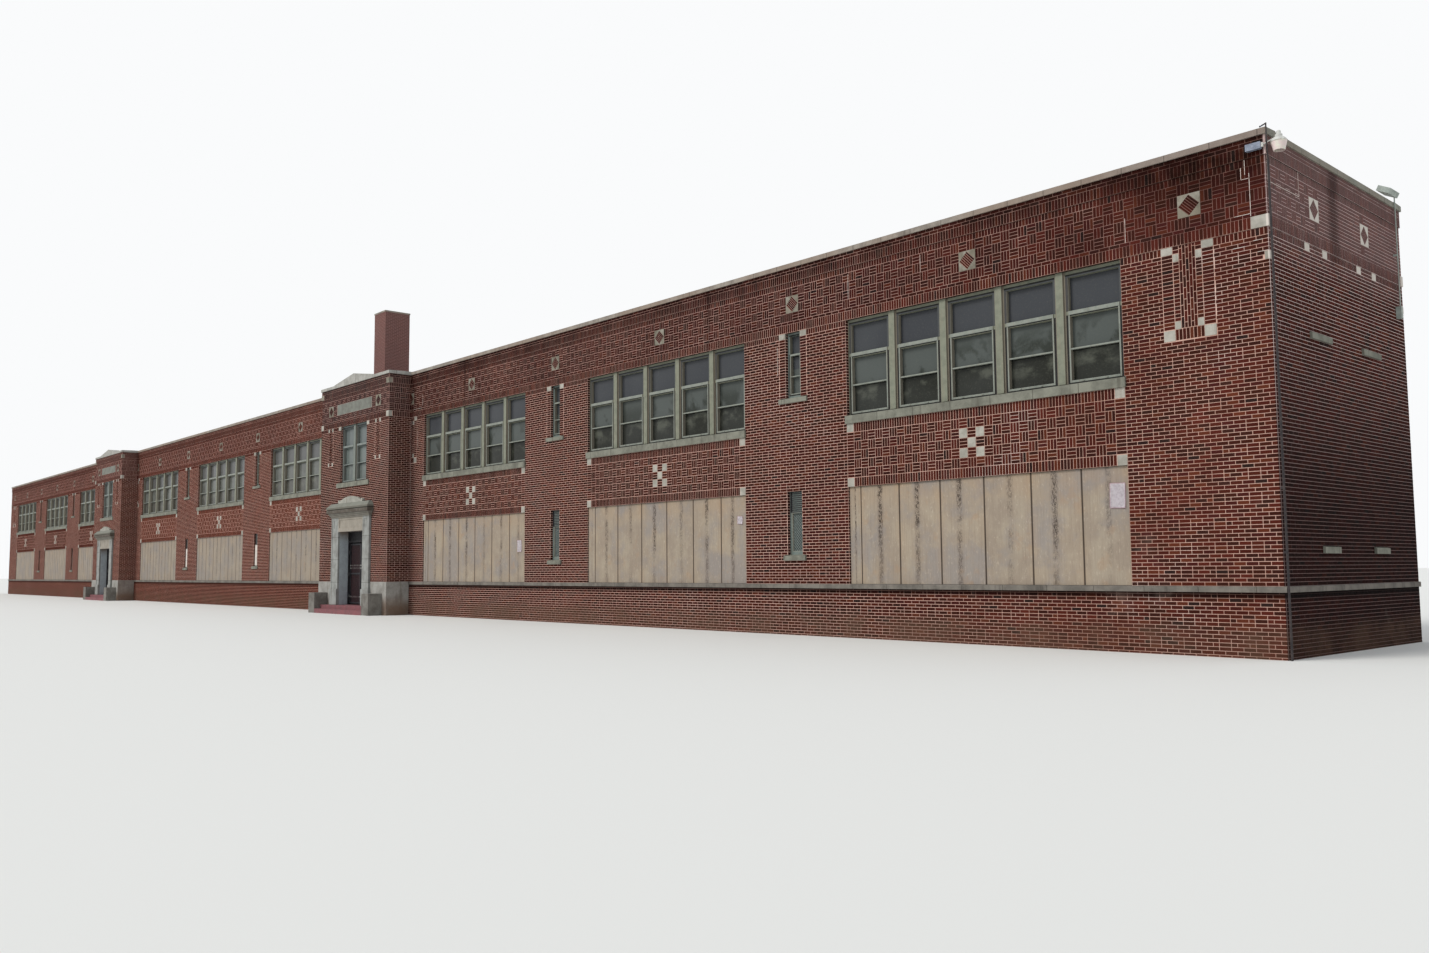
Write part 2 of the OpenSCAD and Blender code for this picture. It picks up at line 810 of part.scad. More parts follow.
// A block as wide and deep as the chimney, made larger by over on each side, with the flue left open
module chimney_ring(over, z0, z1) {
    half_w = chimney_w / 2;
    half_d = chimney_d / 2;
    wall = half_w - flue_w / 2;
    translate([chimney_x, chimney_y + half_d, 0]) difference() {
        block(-half_w - over, half_w + over, -half_d - over, half_d + over, z0, z1);
        block(-flue_w / 2, flue_w / 2, wall - half_d, half_d - wall, z0 - cut, z1 + cut);
    }
}

module chimney() {
    color("brown") centred() chimney_ring(0, z_deck, z_top + chimney_up);
}

module chimney_cap() {
    top = z_top + chimney_up;
    color("lightgray") centred() chimney_ring(cap_stone_over, top, top + cap_stone_t);
}

// Stone entrance surround, drawn with the pavilion's face at Y = 0
module entrance_pilasters() {
    inner = door_w / 2;
    outer = inner + pilaster_w;
    foot = z_floor + plinth_h;
    middle = (inner + outer - edge_w) / 2;
    top = z_lintel_top - square_w * 0.3;
    color("linen") centred() on_pavilions() both_sides() difference() {
        union() {
            block(inner, outer, -surround_out, 0, 0, z_lintel_top);
            block(outer - edge_w, outer, -surround_out - edge_out, 0, 0, z_lintel_top);
            block(inner, outer + plinth_out, -surround_out - plinth_out, 0, 0, foot);
        }
        block(middle - square_w / 2, middle + square_w / 2, -surround_out - cut,
            -surround_out + panel_sunk, top - square_w, top);
    }
}

module entrance_lintels() {
    inner = door_w / 2;
    margin = lintel_h / 6;
    color("linen") centred() on_pavilions() difference() {
        block(-inner, inner, -surround_out, 0, z_door_head, z_lintel_top);
        block(-inner + margin, inner - margin, -surround_out - cut, -surround_out + panel_sunk,
            z_door_head + margin * 1.6, z_lintel_top - margin);
    }
}

// Steps of the cornice from below: top edge as a part of its height, reach as a part of cornice_out
cornice_steps = [[0.14, 0.2], [0.28, 0.4], [0.43, 0.62], [0.76, 0.95], [0.82, 0.85], [1, 1]];

// Cornice, the wash over it and the curved hood
module entrance_cornices() {
    top = z_lintel_top + cornice_h;
    color("linen") centred() on_pavilions() {
        for (i = [0:len(cornice_steps) - 1]) {
            foot = i == 0 ? 0 : cornice_steps[i - 1][0];
            cornice_course(cornice_out * cornice_steps[i][1], z_lintel_top + cornice_h * foot,
                cornice_h * (cornice_steps[i][0] - foot));
        }
        cornice_wash(top);
        translate([0, 0, top + wash_h]) rotate([90, 0, 0])
            linear_extrude(surround_out + wash_out) hood_outline();
    }
}

module cornice_course(out, z, h) {
    block(-surround_w / 2 - out, surround_w / 2 + out, -surround_out - out, 0, z, z + h);
}

// The sloping top of the cornice, which falls to the front and to both sides
module cornice_wash(z) {
    low = surround_w / 2 + cornice_out;
    high = surround_w / 2 + wash_out;
    intersection() {
        translate([0, 0, z]) rotate([90, 0, 0]) linear_extrude(surround_out + cornice_out)
            polygon([[-low, 0], [low, 0], [high, wash_h], [-high, wash_h]]);
        translate([0, 0, z]) along_x(-low, low)
            polygon([[-surround_out - cornice_out, 0], [0, 0], [0, wash_h],
                [-surround_out - wash_out, wash_h]]);
    }
}

// A low arc of the hood's width and rise between two rolled ends
module hood_outline() {
    r = (pow(hood_w / 2, 2) + pow(hood_rise, 2)) / (2 * hood_rise);
    intersection() {
        union() {
            translate([0, hood_rise - r]) circle(r, $fn = 240);
            for (side = [-1, 1]) translate([side * (hood_w / 2 - scroll_r), scroll_r])
                circle(scroll_r, $fn = 32);
        }
        translate([-hood_w / 2, 0]) square([hood_w, hood_rise]);
    }
}

// Painted linings at the sides and the top of the doorway
module reveal_linings() {
    inner = door_w / 2;
    color("lightsteelblue") centred() on_pavilions() {
        both_sides() block(inner, inner + lining_t, 0, pavilion_wall_t, z_floor, z_door_head);
        block(-inner - lining_t, inner + lining_t, 0, pavilion_wall_t,
            z_door_head, z_door_head + lining_t);
    }
}

module door_sills() {
    color("rosybrown") centred() on_pavilions() {
        block(-rough_w / 2, rough_w / 2, 0, pavilion_wall_t, 0, z_floor);
    }
}

// Steel jambs with the hinge pins that carry the leaves
module door_jambs() {
    color("dimgray") centred() on_pavilions() both_sides() {
        block(jamb_x, door_w / 2, jamb_y, jamb_y + jamb_d, z_floor, z_door_head);
        for (z = hinge_levels) translate([0, 0, z]) hinge_lug();
    }
}

module hinge_lug() {
    translate([hinge_x, hinge_y, -knuckle_h / 2]) cylinder(h = knuckle_h / 2, r = knuckle_r);
    translate([hinge_x, hinge_y, -cut]) cylinder(h = knuckle_h + cut, d = hinge_pin_d);
    block(hinge_x, jamb_x + cut, jamb_y, hinge_y + knuckle_r / 2, -knuckle_h / 2, 0);
}

module door_transoms() {
    bar_top = z_floor + transom_up + transom_bar_h;
    color("dimgray") centred() on_pavilions() {
        block(-jamb_x, jamb_x, jamb_y, jamb_y + jamb_d, z_floor + transom_up, bar_top);
        block(-jamb_x, jamb_x, jamb_y + jamb_d / 2, jamb_y + jamb_d / 2 + glass_t, bar_top, z_door_head);
    }
}

// The right leaf of a pair: a framed panel behind bars, with its hinge knuckles
module barred_leaf() {
    left = jamb_x - leaf_gap - leaf_w;
    right = left + leaf_w;
    top = leaf_z + leaf_h;
    back = leaf_y + leaf_t;
    mid = leaf_z + leaf_h / 2;
    bar_step = (leaf_w - 2 * leaf_rail) / (leaf_bars + 1);
    difference() {
        block(left, right, leaf_y, back, leaf_z, top);
        block(left + leaf_rail, right - leaf_rail, leaf_y - cut, back - leaf_panel_t,
            leaf_z + leaf_rail, mid - leaf_rail / 2);
        block(left + leaf_rail, right - leaf_rail, leaf_y - cut, back - leaf_panel_t,
            mid + leaf_rail / 2, top - leaf_rail);
    }
    for (i = [1:leaf_bars]) {
        translate([left + leaf_rail + i * bar_step, leaf_y + bar_d / 2, leaf_z + leaf_rail / 2])
            cylinder(h = leaf_h - leaf_rail, d = bar_d, $fn = 24);
    }
    for (z = hinge_levels) translate([0, 0, z]) leaf_knuckle(right);
}

module leaf_knuckle(edge) {
    strap = 3 * knuckle_r;
    translate([0, 0, hinge_gap]) difference() {
        union() {
            translate([hinge_x, hinge_y, 0]) cylinder(h = knuckle_h, r = knuckle_r);
            block(edge - strap, hinge_x, hinge_y + hinge_pin_d / 2 + hinge_gap, leaf_y + cut, 0, knuckle_h);
        }
        translate([hinge_x, hinge_y, -cut])
            cylinder(h = knuckle_h + 2 * cut, r = hinge_pin_d / 2 + hinge_gap);
    }
}

module right_entrance_right_leaf() {
    color("maroon") centred() translate([pavilion_x, -pavilion_out, 0]) barred_leaf();
}

module right_entrance_left_leaf() {
    color("maroon") centred() translate([pavilion_x, -pavilion_out, 0]) mirror([1, 0, 0]) barred_leaf();
}

module left_entrance_right_leaf() {
    color("maroon") centred() translate([-pavilion_x, -pavilion_out, 0]) barred_leaf();
}

module left_entrance_left_leaf() {
    color("maroon") centred() translate([-pavilion_x, -pavilion_out, 0]) mirror([1, 0, 0]) barred_leaf();
}

// Two steps between the cheek blocks
module stoop_steps() {
    color("indianred") centred() on_pavilions() {
        block(-stoop_w / 2, stoop_w / 2, -step_d, -surround_out - plinth_out, 0, z_floor);
        block(-door_w / 2, door_w / 2, -surround_out - plinth_out, 0, 0, z_floor);
        both_sides() block(surround_w / 2 + plinth_out, stoop_w / 2, -surround_out - plinth_out - cut,
            -base_out, 0, z_floor);
        block(-stoop_w / 2, stoop_w / 2, -cheek_out, -step_d, 0, z_floor - riser_h);
    }
}

module stoop_cheeks() {
    color("gray") centred() on_pavilions() both_sides() {
        block(stoop_w / 2, stoop_w / 2 + cheek_w, -cheek_out, -base_out, 0, z_floor + cheek_up);
    }
}

// Blank stone plaque let into the frieze of each pavilion
module plaque_place(out) {
    block(-plaque_w / 2, plaque_w / 2, -out, plaque_seat, z_frieze + plaque_up,
        z_frieze + plaque_up + plaque_h);
}

module name_plaques() {
    color("linen") centred() on_pavilions() plaque_place(0);
}

// A facing stone of width w and height h, with its foot at z and its face out from the wall
module facing_stone(x, z, w, h, out) {
    block(x - w / 2, x + w / 2, -out, stone_seat, z, z + h);
}

// A square stone in the frieze with a diamond left open for brick
module diamond_stone(x, out) {
    translate([x, stone_seat, z_diamond]) rotate([90, 0, 0]) linear_extrude(stone_seat + out) difference() {
        square(diamond_w, center = true);
        circle(diamond_w / 2 - diamond_rim, $fn = 4);
    }
}

// The four corner stones and the five stones in the middle of a spandrel
module spandrel_stones(out) {
    edge = (group_w - stone_w) / 2;
    mid = (z_spandrel + z_sill - stone_w) / 2;
    for (side = [-1, 1]) {
        facing_stone(side * edge, z_spandrel, stone_w, stone_w, out);
        facing_stone(side * edge, z_sill - stone_w, stone_w, stone_w, out);
        for (row = [-1, 1]) facing_stone(side * stone_pitch, mid + row * stone_pitch, stone_w, stone_w, out);
    }
    facing_stone(0, mid, stone_w, stone_w, out);
}

// The two low stones at the head of a window of width w
module head_stones(w, out) {
    for (side = [-1, 1]) {
        facing_stone(side * (w + head_stone_w) / 2, z_belt - low_stone_h, head_stone_w, low_stone_h, out);
    }
}

module blind_stones(out) {
    head_stones(blind_w, out);
    diamond_stone(0, out);
}

// Half of an end bay's diamond and panel, cut off by the corner of a pavilion at x
module flank_stones(x, side, out) {
    far = x + side * flank_w;
    intersection() {
        translate([x, 0, 0]) {
            diamond_stone(0, out);
            panel_stones(out);
        }
        block(min(x, far), max(x, far), -2 * cut - stone_out, stone_seat, 0, z_coping);
    }
}

module middle_stones(out) {
    for (side = [-1, 1]) flank_stones(side * middle_half, -side, out);
    for (x = middle_groups) translate([x, 0, 0]) {
        spandrel_stones(out);
        diamond_stone(0, out);
    }
    for (x = middle_narrows) translate([x, 0, 0]) {
        head_stones(narrow_w, out);
        diamond_stone(0, out);
    }
}

module outer_stones(out) {
    bay = half_len - end_bay_w / 2;
    for (x = outer_groups) translate([x, 0, 0]) {
        spandrel_stones(out);
        diamond_stone(0, out);
    }
    for (x = outer_narrows) translate([x, 0, 0]) {
        head_stones(narrow_w, out);
        diamond_stone(0, out);
    }
    flank_stones(outer_start, 1, out);
    diamond_stone(bay, out);
    translate([bay - panel_shift, 0, 0]) panel_stones(out);
    corner_stones(half_len, out);
}

// Stones at the corners of the soldier panel in an end bay
module panel_stones(out) {
    foot = z_belt - panel_h;
    for (side = [-1, 1]) {
        facing_stone(side * panel_outer_x, z_belt - low_stone_h, head_stone_w, low_stone_h, out);
        facing_stone(side * panel_inner_x, z_belt - 2 * low_stone_h - 1, slim_stone_w, low_stone_h, out);
        facing_stone(side * panel_inner_x, foot + stone_w + 1, slim_stone_w, low_stone_h, out);
        facing_stone(side * panel_outer_x, foot, head_stone_w, stone_w, out);
    }
}

// Stones that turn the corner at x, in the belt course and below it
module corner_stones(x, out) {
    low = z_belt - small_corner_down;
    block(x - corner_stone_w, x + belt_out + out, -belt_out - out, corner_stone_d, z_belt, z_frieze);
    block(x - small_corner_w, x + out, -out, small_corner_w, low - low_stone_h, low);
}

// Puts pieces drawn for a front corner on the rear corner
module rear_corner() {
    translate([0, wing_depth, 0]) mirror([0, 1, 0]) children();
}

module pavilion_stones(out) {
    half = pavilion_w / 2;
    head_stones(pair_w, out);
    both_sides() {
        diamond_stone(side_panel_x, out);
        for (side = [-1, 1]) for (z = [z_belt - panel_h + stone_w + 1, z_belt - low_stone_h]) {
            facing_stone(side_panel_x + side * side_panel_half, z, slim_stone_w, low_stone_h, out);
        }
        block(half - stone_w, half + belt_out + out, -belt_out - out, corner_stone_d, z_belt, z_frieze);
        block(half - stone_w, half + cap_out + out, -cap_out - out, corner_stone_d, z_cap, z_cap + stone_w);
    }
}

module facing_stones() {
    color("linen") centred() {
        middle_stones(stone_out);
        both_sides() {
            outer_stones(stone_out);
            rear_corner() corner_stones(half_len, stone_out);
            on_right_end(wing_depth / 2) for (side = [-1, 1]) {
                translate([side * blind_offset, 0, 0]) blind_stones(stone_out);
            }
        }
        on_pavilions() pavilion_stones(stone_out);
    }
}

// A round rod from a to b, with a ball fitting at b
module rod(a, b, d) {
    v = b - a;
    translate(a) rotate([0, acos(v[2] / norm(v)), atan2(v[1], v[0])]) cylinder(h = norm(v), d = d, $fn = 24);
    translate(b) sphere(d = d * fitting_ratio, $fn = 24);
}

// Places of the yard light and the metal box at the right front corner
light_at = [half_len + yard_light_reach, yard_light_back, z_rim];
box_right = half_len - 3;
arm_y = -cap_out - corner_box_d / 2;

module yard_light() {
    foot = [box_right + 2, arm_y, z_box + corner_box_h / 2];
    rim = bowl_d / 2 + bowl_wall;
    color("whitesmoke") centred() {
        block(box_right, box_right + 4, arm_y - 2, arm_y + 2, foot[2] - 4, foot[2] + 4);
        rod(foot, light_at + [0, 0, dome_h + arm_d], arm_d);
        translate(light_at) rotate_extrude($fn = 64) polygon([[0, dome_h], [0, dome_h + neck_h],
            [neck_d * 0.22, dome_h + neck_h], [neck_d * 0.3, dome_h + neck_h * 0.9],
            [neck_d * 0.32, dome_h + neck_h * 0.5], [neck_d / 2, dome_h + neck_h * 0.35],
            [neck_d / 2, dome_h],
            [rim * 0.78, dome_h * 0.55], [rim, 0], [rim - 1.5, 0], [rim * 0.7, dome_h * 0.3]]);
    }
}

module yard_light_bowl() {
    top = bowl_d / 2;
    foot = bowl_d * 0.36;
    color("lightcyan") centred() translate(light_at) rotate_extrude($fn = 64) {
        polygon([[top, 0], [foot, -bowl_h], [foot - bowl_wall, -bowl_h], [top - bowl_wall, 0]]);
    }
}

// Pipe down the corner, its thinner hook over the coping, and the metal box beside it
module wall_conduits() {
    low = [half_len + pipe_off, -pipe_front, 0];
    corner = [half_len + conduit_corner, -conduit_corner, 0];
    bend = z_cap - 12;
    top = z_top + conduit_over;
    color("dimgray") centred() {
        rod(low, low + [0, 0, bend], pipe_d);
        rod(low + [0, 0, bend], corner + [0, 0, z_cap + 14], conduit_d);
        rod(corner + [0, 0, z_cap + 14], corner + [0, 0, top], conduit_d);
        rod(corner + [0, 0, top], corner + [-conduit_hook, conduit_hook * 0.6, top], conduit_d);
        for (i = [0:5]) pipe_clip(z_lower + 60 + i * (z_belt - z_lower - 80) / 5);
        block(box_right - corner_box_w, box_right, -cap_out - corner_box_d, -cap_out,
            z_box, z_box + corner_box_h);
    }
}

// A clip that holds the corner pipe to the end wall
module pipe_clip(z) {
    block(half_len, half_len + pipe_off, 0, 3, z, z + 4);
    block(half_len + pipe_off - 1, half_len + pipe_off, -pipe_front, 3, z, z + 4);
}

// A clip that holds the rear conduit to the end wall
module conduit_strap(y, z, x) {
    block(half_len, x, y - 2.5, y + 2.5, z, z + 4);
}

module rear_floodlight() {
    x = half_len + conduit_out;
    y = wing_depth - rear_conduit_y;
    foot = z_coping - rear_conduit_drop;
    head = z_top + conduit_over + flood_t;
    color("slategray") centred() {
        rod([x, y, foot + 4], [x, y, head], conduit_d);
        block(half_len, x + 3, y - 5, y + 5, foot - 20, foot + 7);
        conduit_strap(y, z_belt - 60, x);
        conduit_strap(y, z_frieze + 40, x);
        translate([x, y, head]) rotate([0, flood_tilt, 0]) {
            block(-flood_w * 0.7, flood_w * 0.3, -flood_l, 4, -flood_t / 2, flood_t / 2);
        }
    }
}

front_walls();
rear_wall();
end_walls();
pavilion_piers();
pavilion_upper_walls();
pavilion_side_walls();
pavilion_base_fronts();
pavilion_base_returns();
water_table_long();
water_table_ends();
coping_long();
coping_ends();
pavilion_copings();
window_sills();
upper_window_frames();
upper_window_glass();
small_window_frames();
small_window_glass();
lower_boards();
ground_floor();
upper_floor();
roof_deck();
pavilion_slabs();
chimney();
chimney_cap();
entrance_pilasters();
entrance_lintels();
entrance_cornices();
reveal_linings();
door_sills();
door_jambs();
door_transoms();
stoop_steps();
stoop_cheeks();
name_plaques();
right_entrance_left_leaf();
right_entrance_right_leaf();
left_entrance_left_leaf();
left_entrance_right_leaf();
facing_stones();
yard_light();
yard_light_bowl();
wall_conduits();
rear_floodlight();
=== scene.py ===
import math

import bmesh
import bpy
import numpy as np
from mathutils import Matrix, Vector


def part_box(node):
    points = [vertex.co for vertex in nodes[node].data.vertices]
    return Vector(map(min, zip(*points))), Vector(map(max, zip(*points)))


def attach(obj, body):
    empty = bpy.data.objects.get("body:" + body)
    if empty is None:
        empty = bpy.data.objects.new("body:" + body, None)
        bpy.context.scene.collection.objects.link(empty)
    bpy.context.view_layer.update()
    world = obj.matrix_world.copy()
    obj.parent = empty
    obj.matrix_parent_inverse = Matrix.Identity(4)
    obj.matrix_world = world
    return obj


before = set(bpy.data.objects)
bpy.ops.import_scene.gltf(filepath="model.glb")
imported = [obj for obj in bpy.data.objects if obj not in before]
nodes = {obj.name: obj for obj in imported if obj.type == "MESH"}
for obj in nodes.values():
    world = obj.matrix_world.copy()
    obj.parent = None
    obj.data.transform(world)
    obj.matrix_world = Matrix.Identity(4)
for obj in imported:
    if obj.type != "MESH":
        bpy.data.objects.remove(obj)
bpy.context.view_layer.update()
scene = bpy.context.scene
print("frame loaded:", len(nodes), "nodes")

# Everything on the walls follows the nine inch grid of the brickwork, here at one tenth
grid = 0.02286
course = 1 / 3          # height of a course, in grid steps
joint = 0.058           # width of a mortar joint, in grid steps

# Where the building stands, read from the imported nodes
site = {"wall": 0.033, "pavilionOut": 0.097155, "pavilionHalf": 0.33147, "pavilionX": 1.95453,
        "beltOut": 0.0015, "capOut": 0.0025, "ground": 0.035}
slabLow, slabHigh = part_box("ground_floor")
xRight, xLeft = slabHigh.x + site["wall"], slabLow.x - site["wall"]
yFront, yRear = slabLow.y - site["wall"], slabHigh.y + site["wall"]
xMid = (xRight + xLeft) / 2
zGround = site["ground"]
depth = (yRear - yFront) / grid

# Levels of the front, in grid steps over the ground
level = {"foot": -zGround / grid, "table": 3.83, "lower": 4.33, "spandrel": 15.0, "sill": 22.0,
         "upper": 23.0, "belt": 33.667, "frieze": 34.667, "weave": 35.0, "diamondLow": 36.0, "diamondHigh": 38.0,
         "header": 39.0, "cap": 39.667, "capTop": 40.667, "coping": 41.333}
plan = {"endBay": 13.0, "group": 33.0, "pier": 16.5, "flank": 5.0,
        "narrow": 2.4, "narrowUpper": 26.0, "narrowLower": 7.667, "narrowSill": 0.667,
        "upperSillWidth": 4.5, "lowerSillWidth": 3.5, "pair": 11.2, "pairSill": 13.8}

# Places of the groups, the piers between them and the ends: wings from their corner, middle block from its centre
groupStep = plan["group"] + plan["pier"]
wingGroups = [plan["endBay"] + plan["group"] / 2 + i * groupStep for i in range(3)]
middleGroups = [i * groupStep for i in (-1, 0, 1)]
wingPiers, middlePiers = ([(a + b) / 2 for a, b in zip(row, row[1:])] for row in (wingGroups, middleGroups))
wingEnd = wingGroups[-1] + plan["group"] / 2 + plan["flank"]
middleEnd = middleGroups[-1] + plan["group"] / 2 + plan["flank"]
blinds = [depth / 2 + side * 5.993 for side in (-1, 1)]     # bricked-up windows of the ends


# Materials

class Finish:
    # Small helper that builds one material's nodes
    def __init__(self, name):
        self.mat = bpy.data.materials.new(name)
        self.mat.use_nodes = True
        self.tree = self.mat.node_tree
        self.shader = self.tree.nodes["Principled BSDF"]
        self.spot = self.node("ShaderNodeTexCoord").outputs["Object"]
        self.axes = self.node("ShaderNodeSeparateXYZ")
        self.tree.links.new(self.spot, self.axes.inputs[0])

    def node(self, kind, **settings):
        made = self.tree.nodes.new(kind)
        for key, value in settings.items():
            setattr(made, key, value)
        return made

    def put(self, socket, value):
        if isinstance(value, bpy.types.NodeSocket):
            self.tree.links.new(value, socket)
        else:
            socket.default_value = value

    def fill(self, made, values, output=0):
        # Sets a node's inputs, in order or by place, and gives one of its outputs
        for place, value in values.items() if isinstance(values, dict) else enumerate(values):
            self.put(made.inputs[place], value)
        return made.outputs[output]

    def axis(self, letter):
        return self.axes.outputs[letter.upper()]

    def normal(self, letter):
        facing = self.node("ShaderNodeNewGeometry").outputs["True Normal"]
        return self.fill(self.node("ShaderNodeSeparateXYZ"), [facing], letter.upper())

    def math(self, kind, *values, clamp=False):
        return self.fill(self.node("ShaderNodeMath", operation=kind, use_clamp=clamp), values)

    def times(self, first, *others):
        for value in others:
            first = self.math("MULTIPLY", first, value)
        return first

    def plus(self, a, b):
        return self.math("ADD", a, b)

    def minus(self, a, b):
        return self.math("SUBTRACT", a, b)

    def over(self, a, b):
        return self.math("DIVIDE", a, b)

    def below(self, a, b):
        return self.math("LESS_THAN", a, b)

    def above(self, a, b):
        return self.math("GREATER_THAN", a, b)

    def most(self, a, b):
        return self.math("MAXIMUM", a, b)

    def size(self, value):
        return self.math("ABSOLUTE", value)

    def apart(self, a, b):
        return self.size(self.minus(a, b))

    def join(self, x, y, z):
        return self.fill(self.node("ShaderNodeCombineXYZ"), (x, y, z))

    def noise(self, scale, detail=3.0, rough=0.55, where=None, twist=0.0):
        return self.fill(self.node("ShaderNodeTexNoise"), {
            "Vector": where or self.spot, "Scale": scale, "Detail": detail, "Roughness": rough,
            "Distortion": twist}, "Fac")

    def streaks(self, across, up, detail=4.0, rough=0.6):
        # Noise with its own scale along Z
        drawn = self.fill(self.node("ShaderNodeMapping"), {"Vector": self.spot, "Scale": (across, across, up)})
        return self.noise(1.0, detail, rough, drawn)

    def random(self, where):
        return self.fill(self.node("ShaderNodeTexWhiteNoise", noise_dimensions="3D"), {"Vector": where}, "Value")

    def ramp(self, value, *stops, smooth=True):
        made = self.node("ShaderNodeValToRGB")
        made.color_ramp.interpolation = "LINEAR" if smooth else "CONSTANT"
        points = made.color_ramp.elements
        while len(points) < len(stops):
            points.new(0.5)
        for point, (place, shade) in zip(points, stops):
            point.position = place
            point.color = rgb(shade)
        return self.fill(made, [value])

    def between(self, value, low, high, first=0.0, last=1.0):
        made = self.node("ShaderNodeMapRange", interpolation_type="SMOOTHSTEP")
        return self.fill(made, (value, low, high, first, last))

    def band(self, value, low, high, soft):
        # One between two values, nought outside them
        return self.times(self.between(value, low, low + soft), self.between(value, high + soft, high))

    def mix(self, amount, first, second, kind="MIX"):
        made = self.node("ShaderNodeMix", data_type="RGBA", blend_type=kind)
        return self.fill(made, {0: amount, 6: rgb(first), 7: rgb(second)}, 2)

    def tint(self, amount, colour, shade):
        return self.mix(amount, colour, shade, "MULTIPLY")

    def blend(self, amount, first, second):
        return self.fill(self.node("ShaderNodeMix", data_type="FLOAT"), {0: amount, 2: first, 3: second})

    def attribute(self, name):
        return self.node("ShaderNodeAttribute", attribute_name=name).outputs["Fac"]

    def done(self, colour, rough=0.8, height=None, relief=0.0005, strength=1.0, shine=0.3):
        self.put(self.shader.inputs["Base Color"], rgb(colour))
        self.put(self.shader.inputs["Roughness"], rough)
        self.shader.inputs["Specular IOR Level"].default_value = shine
        if height is not None:
            bump = self.node("ShaderNodeBump")
            bump.inputs["Strength"].default_value = strength
            bump.inputs["Distance"].default_value = relief
            self.put(bump.inputs["Height"], height)
            self.tree.links.new(bump.outputs[0], self.shader.inputs["Normal"])
        return self.mat


def rgb(value):
    # A colour may be written as it shows on screen, 0 to 255
    if not isinstance(value, tuple) or len(value) == 4:
        return value
    parts = [v / 255 for v in value]
    return tuple(p / 12.92 if p < 0.04 else ((p + 0.055) / 1.055) ** 2.4 for p in parts) + (1.0,)


def gridHeight(f):
    return f.over(f.minus(f.axis("z"), zGround), grid)


def endMask(f):
    # One on the two end walls' faces
    return f.above(f.apart(f.axis("x"), xMid), (xRight - xLeft) / 2 - 0.0022)


def proudMask(f):
    # One on the pavilions, which stand before the wings
    return f.below(f.axis("y"), yFront - 0.01)


def farMask(f):
    # One left of the right entrance, where the photograph's tones turn
    return f.below(f.axis("x"), 1.59)


def groupMask(f):
    # One over the middle block's grouped windows, nought over its piers
    half, inside = plan["group"] / 2 * grid, 0.0
    for middle in middleGroups:
        inside = f.most(f.between(f.apart(f.axis("x"), xMid + middle * grid), half + 0.001, half - 0.001), inside)
    return inside


brickLook = {
    "tones": [(0.0, (72, 31, 24)), (0.16, (63, 31, 23)), (0.34, (81, 35, 27)), (0.5, (58, 30, 24)),
              (0.62, (69, 31, 27)), (0.75, (76, 35, 26)), (0.87, (90, 45, 31)), (0.945, (58, 34, 28)),
              (0.98, (46, 32, 29))],
    "lift": (0.86, 1.1), "patch": (0.82, 1.16), "grain": (0.88, 1.1),
    "turn": (xRight - 0.35, xRight - 1.3), "beyondTurn": 0.76,      # bricks get darker with the distance
}


def brickTone(f, tone):
    shade = f.ramp(tone, *brickLook["tones"], smooth=False)
    second = f.random(f.join(tone, f.times(tone, 7.3), 0.4))
    low, high = brickLook["lift"]
    value = f.times(f.math("MULTIPLY_ADD", second, high - low, low),
                    f.between(f.noise(3.2, 3.0), 0.3, 0.72, *brickLook["patch"]),
                    f.between(f.noise(900.0, 2.0), 0.25, 0.75, *brickLook["grain"]),
                    f.between(f.axis("x"), *brickLook["turn"], 1.0, brickLook["beyondTurn"]))
    return f.tint(1.0, shade, f.join(value, value, value))


# Tints of dirt, soot, dust and stains, and painted shadows under the water table and low on the end walls
weatherAndShadow = {
    "stack": 42.2,          # the chimney begins over this, in grid steps
    "frieze": (216, 212, 216), "paintedTableShadow": (78, 68, 66), "cornerSoot": (124, 122, 110),
    "copingSoot": (136, 128, 124), "runs": (150, 144, 142), "paintedEndShadow": (128, 118, 118),
    "endDust": (178, 146, 142), "proudDust": (140, 124, 122), "farBricks": (200, 112, 84),
    "farSpandrel": (196, 132, 112), "farFrieze": (186, 148, 138), "farPlinth": (228, 212, 206),
    "wetEnd": (120, 112, 112), "footDirt": (96, 74, 60), "stackDust": (134, 100, 96), "bloom": (188, 170, 156),
}


